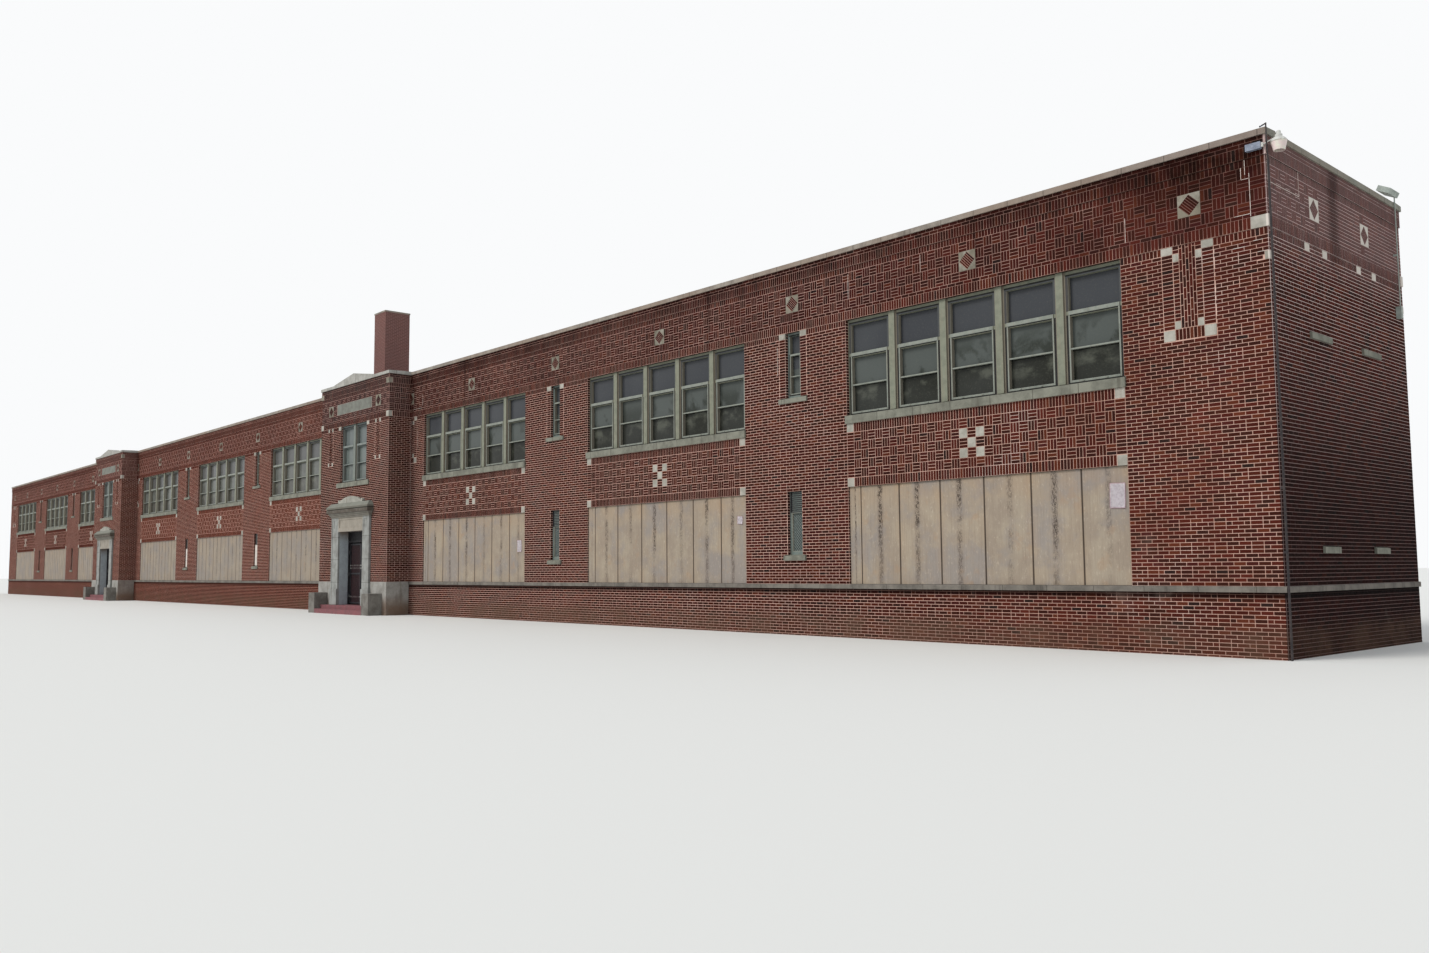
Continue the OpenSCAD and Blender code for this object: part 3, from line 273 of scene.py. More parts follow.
def weatheringAndShadow(f, colour):
    # Multiplied shades keep the joints' contrast, mixed ones lie over bricks and joints alike; the band under the water
    # table and the ends' lower parts get painted shadow
    x, y, z = f.axis("x"), f.axis("y"), gridHeight(f)
    stack, end = f.above(z, weatherAndShadow["stack"]), endMask(f)
    body = f.minus(1.0, stack)
    runs = f.streaks(22.0, 1.6)
    soot = f.times(f.between(x, xRight - 0.42, xRight - 0.12), f.between(z, 34.5, 40.6), f.minus(1.0, end),
                   f.math("MULTIPLY_ADD", f.between(f.noise(8.0, 5.0, 0.65), 0.42, 0.58), 0.7, 0.2))
    high = f.times(f.between(z, 38.9, 41.2), f.between(runs, 0.3, 0.6, 0.35, 1.0), body, 0.7)
    frieze = f.times(f.between(z, 34.3, 35.0), f.between(f.noise(6.0, 4.0), 0.3, 0.65, 0.2, 0.8), body)
    far = f.times(farMask(f), f.below(y, yFront + 0.01), body)
    fromRun = f.apart(f.over(f.minus(y, yFront), grid), 14.2)
    layers = [
        ("frieze", "MULTIPLY", frieze),
        # Painted shadow of the water table on the bricks just below it
        ("paintedTableShadow", "MULTIPLY", f.times(f.between(z, 3.05, 3.6), f.below(z, 4.0), 0.9)),
        ("cornerSoot", "MULTIPLY", soot),
        ("copingSoot", "MULTIPLY", high),
        ("runs", "MULTIPLY", f.times(f.between(runs, 0.6, 0.78), f.between(z, 20.0, 40.0, 0.1, 0.8), body)),
        # Painted shadow over the end walls, darkest at their foot
        ("paintedEndShadow", "MULTIPLY", f.times(end, f.between(z, 35.0, 8.0))),
        ("endDust", "MIX", f.times(end, f.between(z, 30.0, 36.0, 0.0, 0.26))),
        ("proudDust", "MIX", f.times(proudMask(f), f.between(z, 32.0, 36.0, 0.0, 0.1))),
        ("farBricks", "MIX", f.times(far, 0.06)),
        ("farSpandrel", "MIX", f.times(f.band(z, 15.0, 22.0, 0.1), groupMask(f), far, 0.09)),
        ("farFrieze", "MIX", f.times(f.between(z, 33.6, 33.7), far, 0.05)),
        ("farPlinth", "MULTIPLY", f.times(f.below(z, 3.9), far)),
        ("wetEnd", "MULTIPLY", f.times(f.between(fromRun, 1.9, 0.2), end, f.between(z, 30.0, 36.0, 0.0, 0.6))),
        ("footDirt", "MIX", f.times(f.between(z, 1.8, 0.0), f.between(f.noise(12.0, 4.0), 0.35, 0.65, 0.15, 0.5))),
        ("stackDust", "MIX", f.times(stack, 0.62)),
        ("bloom", "MIX", f.between(f.noise(5.0, 5.0, 0.7), 0.62, 0.8, 0.0, 0.12)),
    ]
    for name, kind, amount in layers:
        colour = f.mix(amount, colour, weatherAndShadow[name], kind)
    return colour


mortarLook = {"new": (214, 176, 160), "pale": (232, 208, 198), "dark": (188, 146, 130), "darkBeltJoints": (142, 104, 96),
              "end": (246, 226, 220), "far": (244, 200, 184), "sand": (130, 100, 88)}


def mortarColour(f):
    x, z = f.axis("x"), gridHeight(f)
    shade = f.mix(f.between(f.noise(9.0, 4.0), 0.38, 0.72), mortarLook["new"], mortarLook["dark"])
    shade = f.mix(f.between(f.noise(4.2, 3.0, 0.6), 0.56, 0.7, 0.0, 0.8), shade, mortarLook["pale"])
    # Joints darker along the foot of the belt over the windows, and by the right corner
    darkBeltJoints = f.times(f.between(z, 33.4, 34.0), f.between(f.noise(14.0, 4.0), 0.36, 0.66, 0.6, 0.1))
    corner = f.times(f.between(z, 33.4, 34.6), f.between(x, xRight - 0.5, xRight - 0.25, 0.0, 0.55))
    darkBeltJoints = f.times(f.math("ADD", darkBeltJoints, corner, clamp=True), f.minus(1.0, endMask(f)))
    shade = f.mix(darkBeltJoints, shade, mortarLook["darkBeltJoints"])
    shade = f.mix(f.times(endMask(f), 0.9), shade, mortarLook["end"])
    shade = f.mix(f.between(x, *brickLook["turn"], 0.0, 0.55), shade, mortarLook["far"])
    return f.mix(f.between(f.noise(420.0, 2.0), 0.3, 0.7, 0.0, 0.2), shade, mortarLook["sand"])


def drawnBricks(f, along, up):
    # Running bond worked out from two coordinates in grid steps: joint mask and a number per brick
    rows = f.over(up, course)
    row = f.math("FLOOR", rows)
    across = f.plus(along, f.times(f.math("MODULO", f.size(row), 2.0), 0.5))
    inRow, inBrick = f.times(f.math("FRACT", rows), course), f.math("FRACT", across)
    edge = f.math("MINIMUM", f.math("MINIMUM", inRow, f.minus(course, inRow)),
                  f.math("MINIMUM", inBrick, f.minus(1.0, inBrick)))
    face = f.between(edge, joint * 0.42, joint * 0.62)
    return face, f.random(f.join(f.math("FLOOR", across), row, 1.7))


def wallFinish(name, covered=None):
    # Mortar bed behind the laid bricks, with drawn bricks on the faces that no laid brick covers
    f = Finish(name)
    along = f.blend(f.between(f.size(f.normal("x")), 0.4, 0.6), f.over(f.minus(f.axis("x"), xRight), grid),
                    f.over(f.minus(f.axis("y"), yFront), grid))
    face, tone = drawnBricks(f, along, gridHeight(f))
    if covered:
        face = f.times(face, f.math("SUBTRACT", 1.0, covered(f), clamp=True))
    colour = weatheringAndShadow(f, f.mix(face, mortarColour(f), brickTone(f, tone)))
    # Faces that look down are painted dark: painted shade under ledges and lintels
    colour = f.mix(f.below(f.normal("z"), -0.5), colour, (64, 50, 44))
    height = f.plus(face, f.times(f.noise(900.0, 2.0), 0.3))
    return f.done(colour, 0.88, height, 0.0004, shine=0.04)


def frontCovered(f):
    return f.most(f.below(f.normal("y"), -0.5), endMask(f))


def pavilionCovered(f):
    fromPavilion = f.apart(f.apart(f.axis("x"), xMid), site["pavilionX"])
    return f.most(f.below(f.normal("y"), -0.5), f.above(fromPavilion, site["pavilionHalf"] - 0.002))


def allCovered(f):
    return f.below(f.size(f.normal("z")), 0.5)


def laidBrickFinish():
    f = Finish("laid_brick")
    colour = weatheringAndShadow(f, brickTone(f, f.attribute("tone")))
    height = f.plus(f.noise(700.0, 3.0), f.times(f.noise(160.0, 2.0), 0.8))
    return f.done(colour, f.between(f.noise(300.0, 2.0), 0.3, 0.7, 0.72, 0.92), height, 0.00018, 0.7, 0.04)


seam = {"outer": 0.0009, "inner": 0.0003, "tone": (70, 64, 58), "weight": 0.75}


def seamMask(f, place, step):
    # Joints between stone blocks that repeat with one step
    away = f.apart(f.math("FRACT", f.over(place, step)), 0.5)
    return f.between(away, 0.5 - seam["outer"] / step, 0.5 - seam["inner"] / step)


def stoneFinish(name, light, dark, stain, blocks=None, overlay=None):
    f = Finish(name)
    mottle = f.noise(26.0, 6.0, 0.65)
    colour = f.mix(f.between(mottle, 0.34, 0.68), light, dark)
    colour = f.mix(f.between(f.streaks(60.0, 6.0), 0.55, 0.75, 0.0, 0.55), colour, stain)
    colour = f.mix(f.between(f.noise(600.0, 3.0, 0.7), 0.56, 0.7, 0.0, 0.3), colour, (92, 88, 80))
    if overlay:
        colour = overlay(f, colour)
    height = f.plus(f.noise(420.0, 4.0, 0.6), f.times(mottle, 1.4))
    if blocks:
        wide, tall, shift = blocks
        gap = seamMask(f, f.plus(f.plus(f.axis("x"), f.axis("y")), shift), wide)
        if tall:
            gap = f.most(gap, seamMask(f, f.minus(f.axis("z"), zGround), tall))
        colour = f.mix(f.times(gap, seam["weight"]), colour, seam["tone"])
        height = f.minus(height, f.times(gap, 3.0))
    return f.done(colour, 0.82, height, 0.0003, 0.8, 0.15)


def facingPlaces(f, colour):
    # The stones of the frieze are dirtier than those below, and those of the ends paler
    high = f.times(f.between(gridHeight(f), 34.9, 35.4), f.between(f.noise(30.0, 3.0), 0.3, 0.6, 0.5, 1.0))
    colour = f.tint(f.times(high, f.minus(1.0, endMask(f))), colour, (190, 184, 174))
    return f.mix(f.times(endMask(f), 0.6), colour, (228, 218, 208))


def baseStains(f, colour):
    # Brown splashes low down, and browner returns on the left pavilion
    low = f.times(f.between(gridHeight(f), 2.6, -0.6), f.between(f.noise(14.0, 4.0), 0.3, 0.62, 0.35, 0.9))
    colour = f.mix(low, colour, (112, 90, 74))
    side = f.times(f.above(f.size(f.normal("x")), 0.5), f.below(f.axis("x"), 0.0), 0.4)
    return f.mix(side, colour, (106, 82, 70))


def copingPlaces(f, colour):
    # Green-grey along the ends, brown-grey by the right corner, warm patches everywhere
    colour = f.mix(f.times(endMask(f), 0.55), colour, (128, 134, 122))
    near = f.times(f.between(f.axis("x"), xRight - 0.7, xRight - 0.1, 0.0, 0.6), f.below(f.normal("y"), -0.5))
    colour = f.mix(near, colour, (130, 114, 106))
    return f.mix(f.between(f.noise(3.0, 4.0), 0.42, 0.6, 0.0, 0.6), colour, (140, 122, 108))


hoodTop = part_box("entrance_cornices")[1].z
corniceLevels = {"corona": hoodTop - 0.045, "wash": hoodTop - 0.027, "bed": hoodTop - 0.0703,
                 "shadowGroove": hoodTop - 0.0558}


def corniceStainsAndShade(f, colour):
    # Cornice of the entrance: clean above, a grey-green wash, a dark stained corona over its bed, a painted shadow line
    # in its groove and painted shade on its faces looking down
    z, top = f.axis("z"), corniceLevels
    wash = f.times(f.between(z, top["corona"], top["corona"] + 0.001),
                   f.between(z, top["wash"] + 0.0005, top["wash"] - 0.0005))
    low = f.between(z, top["corona"] + 0.0005, top["corona"] - 0.0005)
    blotches = f.between(f.streaks(30.0, 60.0, 5.0, 0.65), 0.3, 0.6, 0.6, 1.0)
    face = f.times(f.between(z, top["bed"] - 0.0003, top["bed"] + 0.0003), low)
    shadowGroove = f.times(f.between(z, top["shadowGroove"] - 0.0003, top["shadowGroove"] + 0.0002),
                     f.between(z, top["shadowGroove"] + 0.0032, top["shadowGroove"] + 0.0026))
    rim = f.times(f.between(z, top["shadowGroove"] + 0.0028, top["shadowGroove"] + 0.0034), low)
    # The near-black groove line and the darkened faces looking down are painted shadow
    for amount, tone in ((f.times(wash, 0.7), (108, 110, 100)), (f.times(low, blotches, 0.6), (112, 104, 94)),
                         (f.times(face, blotches), (84, 77, 69)), (f.times(shadowGroove, 0.85), (40, 38, 33)),
                         (f.times(rim, 0.8), (112, 111, 101)),
                         (f.times(f.below(f.normal("z"), -0.5), 0.6), (58, 52, 46))):
        colour = f.mix(amount, colour, tone)
    return colour


# Painted warm light on sides, screened panes, dim panes, painted dusky shade and painted black shadow in gaps, by the
# value marked on the mesh
windowParts = {0.25: (122, 114, 100), 0.4: (74, 84, 82), 0.5: (66, 69, 70), 0.75: (62, 61, 60), 1.0: (13, 14, 12)}


def paintFinish(name, colour, worn, bare, rough=0.55, scale=60.0, window=False):
    f = Finish(name)
    patch = f.noise(scale, 5.0, 0.65)
    shade = f.mix(f.between(patch, 0.35, 0.7, 0.0, 0.8), colour, worn)
    if window:
        # streaks down the paint, painted warm light on the sides, paler frames on the pavilions
        shade = f.mix(f.between(f.streaks(300.0, 14.0), 0.45, 0.75, 0.0, 0.35), shade, (136, 120, 100))
        shade = f.mix(f.times(f.above(f.size(f.normal("x")), 0.6), 0.8), shade, windowParts[0.25])
        shade = f.mix(f.times(proudMask(f), 0.5), shade, (112, 122, 122))
    flakes = f.between(f.noise(scale * 6, 3.0, 0.7), 0.62, 0.7, 0.0, 0.8)
    shade = f.mix(flakes, shade, bare)
    # Marked strips take painted light, painted shade or a pane's tone
    for place, tone in (windowParts.items() if window else ()):
        shade = f.mix(f.below(f.apart(f.attribute("part"), place), 0.05), shade, tone)
    height = f.minus(f.noise(scale * 12, 2.0), f.times(flakes, 1.5))
    return f.done(shade, f.between(patch, 0.3, 0.7, rough - 0.1, rough + 0.15), height, 0.00012, 0.6)


# Pane tones are painted reflections; dust and haze lie over them
paneLook = {"top": (62, 64, 68), "middle": (80, 85, 82), "low": (36, 37, 31), "darkReflection": (38, 42, 35),
            "paleReflection": (84, 86, 76), "dust": (104, 104, 94), "proud": (138, 148, 144), "far": (150, 148, 140),
            "haze": (108, 112, 112)}


def glassFinish():
    # Dusty panes with painted reflections: an even top light, and paler lower ones with dark blots and pale clouds of
    # painted reflection, darkening towards the sill
    f = Finish("window_glass")
    z = gridHeight(f)
    drawn = f.math("MULTIPLY_ADD", f.noise(90.0, 4.0, 0.7), 0.18, f.noise(9.0, 3.0, 0.6, twist=0.5))
    darkReflection = f.times(f.between(drawn, 0.58, 0.7, 0.0, 0.8), f.between(z, 29.4, 27.2, 0.25, 1.0))
    middle = f.mix(darkReflection, paneLook["middle"], paneLook["darkReflection"])
    paleReflection = f.times(f.between(f.streaks(17.0, 27.2), 0.46, 0.66, 0.0, 0.85), f.between(z, 23.6, 25.4))
    low = f.mix(paleReflection, paneLook["low"], paneLook["paleReflection"])
    colour = f.mix(f.between(z, 29.3, 29.5), f.mix(f.between(z, 26.2, 26.4), low, middle), paneLook["top"])
    haze = f.between(f.noise(4.0, 3.0), 0.3, 0.7)
    for name, amount in (("proud", f.times(proudMask(f), 0.42)), ("far", f.times(farMask(f), 0.22)),
                         ("haze", f.times(haze, 0.12)),
                         ("dust", f.between(f.noise(260.0, 4.0, 0.7), 0.5, 0.75, 0.0, 0.22))):
        colour = f.mix(amount, colour, paneLook[name])
    return f.done(colour, f.between(haze, 0.0, 1.0, 0.12, 0.28), f.noise(30.0, 2.0), 0.0004, 0.3, 0.12)


boardLook = {"wood": (152, 139, 124), "pale": (163, 151, 134), "sheet": (176, 160, 138), "grey": (143, 137, 133),
             "orange": (164, 138, 112), "fibre": (128, 112, 98), "chip": (200, 186, 168), "speck": (104, 92, 82),
             "halo": (122, 106, 94), "mould": (52, 44, 40), "far": (138, 132, 124), "edge": (74, 62, 52)}


def boardFinish():
    # Plywood: fibres up the sheet, grey patches and a broken run of mould down the middle of each sheet
    f = Finish("plywood")
    z = f.between(gridHeight(f), level["lower"] - 0.03, level["spandrel"])
    fibres, patches = f.streaks(420.0, 16.0, 5.0), f.noise(11.0, 4.0, 0.6)
    tone, across = f.attribute("tone"), f.attribute("across")
    greyness = f.plus(f.noise(8.0, 5.0, 0.65), f.times(tone, 0.1))
    rim = f.plus(f.between(f.size(across), 0.3, 0.5, 0.0, 0.3), f.between(z, 0.8, 1.0, 0.0, 0.35))
    warm = f.most(f.between(f.noise(20.0, 3.0), 0.58, 0.74, 0.0, 0.5), f.times(rim, f.between(patches, 0.4, 0.6)))
    lean = f.times(f.minus(tone, 0.5), 0.12)
    wander = f.times(f.minus(f.streaks(2.0, 40.0, 3.0), 0.5), 0.1)
    fromLine = f.size(f.plus(f.plus(across, lean), wander))
    dots = f.between(f.streaks(420.0, 150.0, 4.0, 0.8), 0.47, 0.53)
    weight = f.times(f.between(f.streaks(6.0, 17.0, 3.0), 0.3, 0.56, 0.1, 1.0), f.between(tone, 0.05, 0.4, 0.5, 1.0))
    line = f.times(f.between(fromLine, 0.085, 0.02), dots, weight, f.between(z, 0.0, 0.7, 0.55, 1.0), 0.9)
    colour = f.mix(f.between(patches, 0.4, 0.6), boardLook["wood"], boardLook["pale"])
    for name, amount in (
            ("sheet", f.between(tone, 0.0, 1.0, 0.0, 0.22)),
            ("grey", f.between(greyness, 0.48, 0.68, 0.0, 0.75)),
            ("orange", warm),
            ("fibre", f.between(fibres, 0.42, 0.8, 0.0, 0.4)),
            ("chip", f.between(f.streaks(230.0, 90.0, 4.0, 0.7), 0.56, 0.7, 0.0, 0.35)),
            ("speck", f.between(f.streaks(300.0, 60.0, 3.0, 0.75), 0.62, 0.74, 0.0, 0.45)),
            ("halo", f.times(f.between(fromLine, 0.14, 0.0), weight, 0.3)),
            ("mould", line),
            ("far", f.times(farMask(f), 0.3)),
            ("edge", f.between(f.size(across), 0.478, 0.494, 0.0, 0.8))):
        colour = f.mix(amount, colour, boardLook[name])
    return f.done(colour, 0.86, f.plus(fibres, f.times(dots, 0.3)), 0.00015, 0.6, 0.1)


def roofFinish():
    f = Finish("tar_and_gravel")
    stones = f.noise(900.0, 3.0, 0.7)
    colour = f.mix(f.between(stones, 0.4, 0.62), (84, 82, 78), (150, 146, 138))
    colour = f.mix(f.between(f.noise(3.0, 5.0, 0.6), 0.5, 0.66, 0.0, 0.7), colour, (62, 60, 58))
    return f.done(colour, 0.95, stones, 0.0008)


leafLook = {"panel": (0.0022, 0.0018), "rails": (0.0345, 0.156, 0.168)}     # from the leaf's rear, over the ground


def leafFinish():
    # Dark steel in front, the maroon panel behind the bars
    f = Finish("barred_leaf")
    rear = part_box("right_entrance_left_leaf")[1].y
    behind = f.between(f.axis("y"), *(rear - step for step in leafLook["panel"]))
    scuffs = f.noise(120.0, 4.0, 0.65)
    steel = f.mix(f.between(scuffs, 0.4, 0.7), (34, 34, 38), (54, 52, 54))
    steel = f.mix(f.between(f.noise(500.0, 3.0, 0.7), 0.62, 0.72, 0.0, 0.5), steel, (80, 54, 44))
    maroon = f.mix(f.between(scuffs, 0.35, 0.7), (44, 18, 22), (60, 28, 30))
    z, rails = f.minus(f.axis("z"), zGround), 0.0
    for place in leafLook["rails"]:
        rails = f.most(f.between(f.apart(z, place), 0.0036, 0.0022), rails)
    steel = f.mix(f.times(rails, f.between(scuffs, 0.35, 0.6, 0.4, 0.95)), steel, (150, 150, 146))
    return f.done(f.mix(behind, steel, maroon), f.blend(behind, 0.42, 0.6), scuffs, 0.0001, 0.5)


def liningFinish():
    # Worn blue-grey paint, brown towards its head
    f = Finish("lining_paint")
    patch = f.noise(30.0, 5.0, 0.65)
    colour = f.mix(f.between(patch, 0.35, 0.7), (178, 188, 190), (160, 166, 172))
    head = f.times(f.between(gridHeight(f), 11.6, 13.6), f.between(patch, 0.3, 0.6, 0.6, 0.95))
    colour = f.mix(head, colour, (134, 122, 112))
    flakes = f.between(f.noise(180.0, 3.0, 0.7), 0.62, 0.7, 0.0, 0.7)
    return f.done(f.mix(flakes, colour, (120, 112, 104)), 0.6, f.noise(300.0, 3.0), 0.00012, 0.6)


def conduitFinish():
    # Dark conduit, and blue-grey paint on the metal box beside it on the front
    f = Finish("conduit_paint")
    scuffs = f.noise(140.0, 4.0, 0.65)
    dark = f.mix(f.between(scuffs, 0.4, 0.7), (40, 36, 38), (66, 58, 56))
    box = f.mix(f.between(scuffs, 0.35, 0.7), (140, 148, 164), (110, 118, 134))
    box = f.mix(f.between(f.noise(420.0, 3.0, 0.7), 0.6, 0.72, 0.0, 0.7), box, (98, 76, 64))
    onFront = f.times(f.below(f.axis("y"), yFront - 0.001), f.below(f.axis("x"), xRight - 0.0024))
    return f.done(f.mix(onFront, dark, box), 0.5, scuffs, 0.0001, 0.5)


def bowlFinish():
    # Cloudy ribbed bowl of the yard light
    f = Finish("lamp_bowl")
    ribs = f.math("SINE", f.times(f.axis("z"), 5200.0))
    tone = f.mix(f.between(f.noise(70.0, 2.0), 0.4, 0.6), (226, 222, 206), (226, 204, 200))
    return f.done(f.mix(f.between(ribs, -0.4, 0.9, 0.0, 0.35), tone, (244, 240, 232)), 0.3, ribs, 0.0001, 0.4)


print("materials")
laidBrick = laidBrickFinish()
mats = {
    "rearWall": wallFinish("brick_wall"),
    "frontWall": wallFinish("front_mortar_bed", frontCovered),
    "endWall": wallFinish("end_mortar_bed", endMask),
    "pavilionWall": wallFinish("pavilion_mortar_bed", pavilionCovered),
    "chimney": wallFinish("chimney_mortar_bed", allCovered),
    "glass": glassFinish(), "board": boardFinish(), "roof": roofFinish(), "lining": liningFinish(),
    "leaf": leafFinish(), "conduit": conduitFinish(), "bowl": bowlFinish(),
}
# Stones: light and dark tone, stain, the step of their joints along, up and its shift, what lies over them
for key, name, *tones in (
        ("paleStone", "pale_stone", (161, 153, 141), (144, 138, 127), (112, 103, 92)),
        ("cornice", "cornice_stone", (168, 167, 157), (144, 142, 133), (112, 102, 92), None, corniceStainsAndShade),
        ("plaque", "plaque_stone", (128, 130, 122), (110, 110, 103), (86, 82, 75)),
        ("portalStone", "portal_stone", (158, 160, 156), (134, 134, 130), (106, 96, 86), (0.31, 0.0965, 0.09)),
        ("facingStone", "facing_stone", (180, 176, 166), (150, 147, 137), (122, 114, 102), None, facingPlaces),
        ("baseStone", "base_stone", (164, 162, 156), (140, 137, 131), (104, 93, 82), None, baseStains),
        ("coping", "coping_stone", (158, 150, 140), (128, 120, 112), (82, 76, 70), (0.0915, None, 0.0), copingPlaces),
        ("gable", "gable_stone", (176, 174, 168), (150, 148, 141), (98, 93, 88), (0.0915, None, 0.0)),
        ("table", "water_table_stone", (128, 122, 114), (98, 94, 88), (66, 60, 56), (0.11, None, 0.03)),
        ("sill", "sill_stone", (136, 136, 124), (110, 110, 100), (76, 72, 64), (0.11, None, 0.05)),
        ("concrete", "stoop_concrete", (132, 129, 123), (105, 101, 95), (74, 68, 62)),
        ("floor", "floor_concrete", (128, 126, 120), (104, 102, 96), (80, 78, 74))):
    mats[key] = stoneFinish(name, *tones)
# Paints: new tone, worn tone and what shows where it has flaked
for key, name, tones, settings in (
        ("frame", "frame_paint", ((128, 131, 114), (110, 114, 100), (146, 140, 124)), {"window": True}),
        ("sash", "sash_paint", ((138, 143, 134), (118, 124, 116), (98, 94, 85)), {"window": True}),
        ("narrowFrame", "narrow_frame_paint", ((116, 128, 123), (98, 110, 105), (120, 118, 106)), {"window": True}),
        ("screen", "screen_wire", ((142, 150, 146), (120, 128, 124), (92, 84, 76)), {}),
        ("paleBoard", "pale_board_paint", ((214, 206, 196), (200, 192, 184), (168, 158, 146)), {}),
        ("step", "step_paint", ((132, 80, 84), (114, 82, 84), (154, 142, 138)), {"rough": 0.75, "scale": 40.0}),
        ("steel", "dark_steel_paint", ((30, 29, 32), (42, 41, 43), (70, 50, 42)), {"scale": 90.0}),
        ("paleMetal", "pale_metal_paint", ((212, 212, 206), (184, 184, 178), (130, 112, 98)), {"scale": 90.0}),
        ("floodMetal", "floodlight_paint", ((168, 176, 168), (140, 148, 142), (96, 90, 80)), {"scale": 90.0})):
    mats[key] = paintFinish(name, *tones, **settings)

for key, dressed in {
    "frontWall": "front_walls", "rearWall": "rear_wall", "endWall": "end_walls", "chimney": "chimney",
    "pavilionWall": "pavilion_piers pavilion_upper_walls pavilion_side_walls",
    "baseStone": "pavilion_base_fronts pavilion_base_returns", "table": "water_table_long water_table_ends",
    "coping": "coping_long coping_ends chimney_cap", "gable": "pavilion_copings", "sill": "window_sills",
    "frame": "upper_window_frames", "narrowFrame": "small_window_frames",
    "glass": "upper_window_glass small_window_glass", "steel": "lower_boards door_jambs door_transoms",
    "floor": "ground_floor upper_floor", "roof": "roof_deck pavilion_slabs",
    "portalStone": "entrance_pilasters", "paleStone": "entrance_lintels", "cornice": "entrance_cornices",
    "lining": "reveal_linings", "step": "door_sills stoop_steps", "concrete": "stoop_cheeks",
    "plaque": "name_plaques", "facingStone": "facing_stones", "paleMetal": "yard_light",
    "floodMetal": "rear_floodlight", "conduit": "wall_conduits", "bowl": "yard_light_bowl",
    "leaf": "right_entrance_left_leaf right_entrance_right_leaf left_entrance_left_leaf left_entrance_right_leaf",
}.items():
    for node in dressed.split():
        nodes[node].data.materials.clear()
        nodes[node].data.materials.append(mats[key])


# Brickwork

bond = {"thinnest": 0.1, "narrowest": 0.16, "leastCut": 0.14,      # smaller pieces of brick are left out
        "header": 0.36}                                            # step of the header bands
stoneSide, lowStone, slimStone = 0.945, 0.6667, 0.525


class Wall:
    # A wall face: where it starts, which way it runs and which way it looks
    def __init__(self, start, run, look):
        self.start, self.run, self.look = Vector(start), Vector(run), Vector(look)
        self.bricks, self.holes, self.panels = [], [], []

    def hole(self, u0, u1, z0, z1):
        self.holes.append((u0, u1, z0, z1))

    def clear(self, u0, u1, z0, z1):
        # A panel that has its own bricks: the plain bond is laid round it
        self.panels.append((u0, u1, z0, z1))

    def lay(self, u0, u1, z0, z1, out=0.0):
        self.bricks.append((u0, u1, z0, z1, out))

    def runningBond(self, u0, u1, z0, z1, out=0.0, headersEvery=6):
        for row in range(int(math.floor(z0 / course + 1e-6)), int(math.ceil(z1 / course - 1e-6))):
            low, high = max(row * course, z0), min((row + 1) * course, z1)
            if high - low < bond["thinnest"]:
                continue
            if headersEvery and row % headersEvery == 4:
                edges, u = [], math.floor(u0 / 1.5) * 1.5
                while u < u1:
                    edges += [u, u + 1.0]
                    u += 1.5
                edges.append(u)
            else:
                start = math.floor(u0) - (0.5 if row % 2 else 0.0)
                edges = list(np.arange(start, u1 + 1.01, 1.0))
            for a, b in zip(edges, edges[1:]):
                a, b = max(a, u0), min(b, u1)
                if b - a > bond["narrowest"]:
                    self.lay(a, b, low, high, out)

    def soldiers(self, u0, u1, z0, z1, out=0.0, pitch=course):
        count = max(1, round((u1 - u0) / pitch))
        for i in range(count):
            self.lay(u0 + (u1 - u0) * i / count, u0 + (u1 - u0) * (i + 1) / count, z0, z1, out)

    def stack(self, u0, u1, z0, z1, out=0.0):
        count = max(1, round((z1 - z0) / course))
        for i in range(count):
            self.lay(u0, u1, z0 + (z1 - z0) * i / count, z0 + (z1 - z0) * (i + 1) / count, out)

    def weave(self, u0, u1, z0, rows, out=0.0, turn=0):
        count = max(1, round(u1 - u0))
        step = (u1 - u0) / count
        for row in range(rows):
            for i in range(count):
                a, low = u0 + i * step, z0 + row
                (self.soldiers if (i + row + turn) % 2 else self.stack)(a, a + step, low, low + 1, out)

    def upright(self, u0, u1, z0, z1, columns, out=0.0):
        # Bricks on end, each column stepped by half a brick
        for i in range(columns):
            a, b = u0 + (u1 - u0) * i / columns, u0 + (u1 - u0) * (i + 1) / columns
            edges = [z0] + [z for z in np.arange(z0 + (0.5 if i % 2 else 1.0), z1 - 0.2, 1.0)] + [z1]
            for low, high in zip(edges, edges[1:]):
                self.lay(a, b, low, high, out)

    def cut(self):
        # Trims the bricks round every hole
        bricks = self.bricks
        for h0, h1, k0, k1 in self.holes:
            kept = []
            for brick in bricks:
                u0, u1, z0, z1, out = brick
                if u1 <= h0 + 1e-4 or u0 >= h1 - 1e-4 or z1 <= k0 + 1e-4 or z0 >= k1 - 1e-4:
                    kept.append(brick)
                    continue
                least, low, high = bond["leastCut"], z0, z1
                if k0 - z0 > least:
                    kept.append((u0, u1, z0, k0, out))
                    low = k0
                if z1 - k1 > least:
                    kept.append((u0, u1, k1, z1, out))
                    high = k1
                if h0 - u0 > least:
                    kept.append((u0, h0, low, high, out))
                if u1 - h1 > least:
                    kept.append((h1, u1, low, high, out))
            bricks = kept
        self.bricks = bricks


def stoneHole(wall, centre, z, width, height):
    pad = joint * 0.3
    wall.hole(centre - width / 2 - pad, centre + width / 2 + pad, z - pad, z + height + pad)


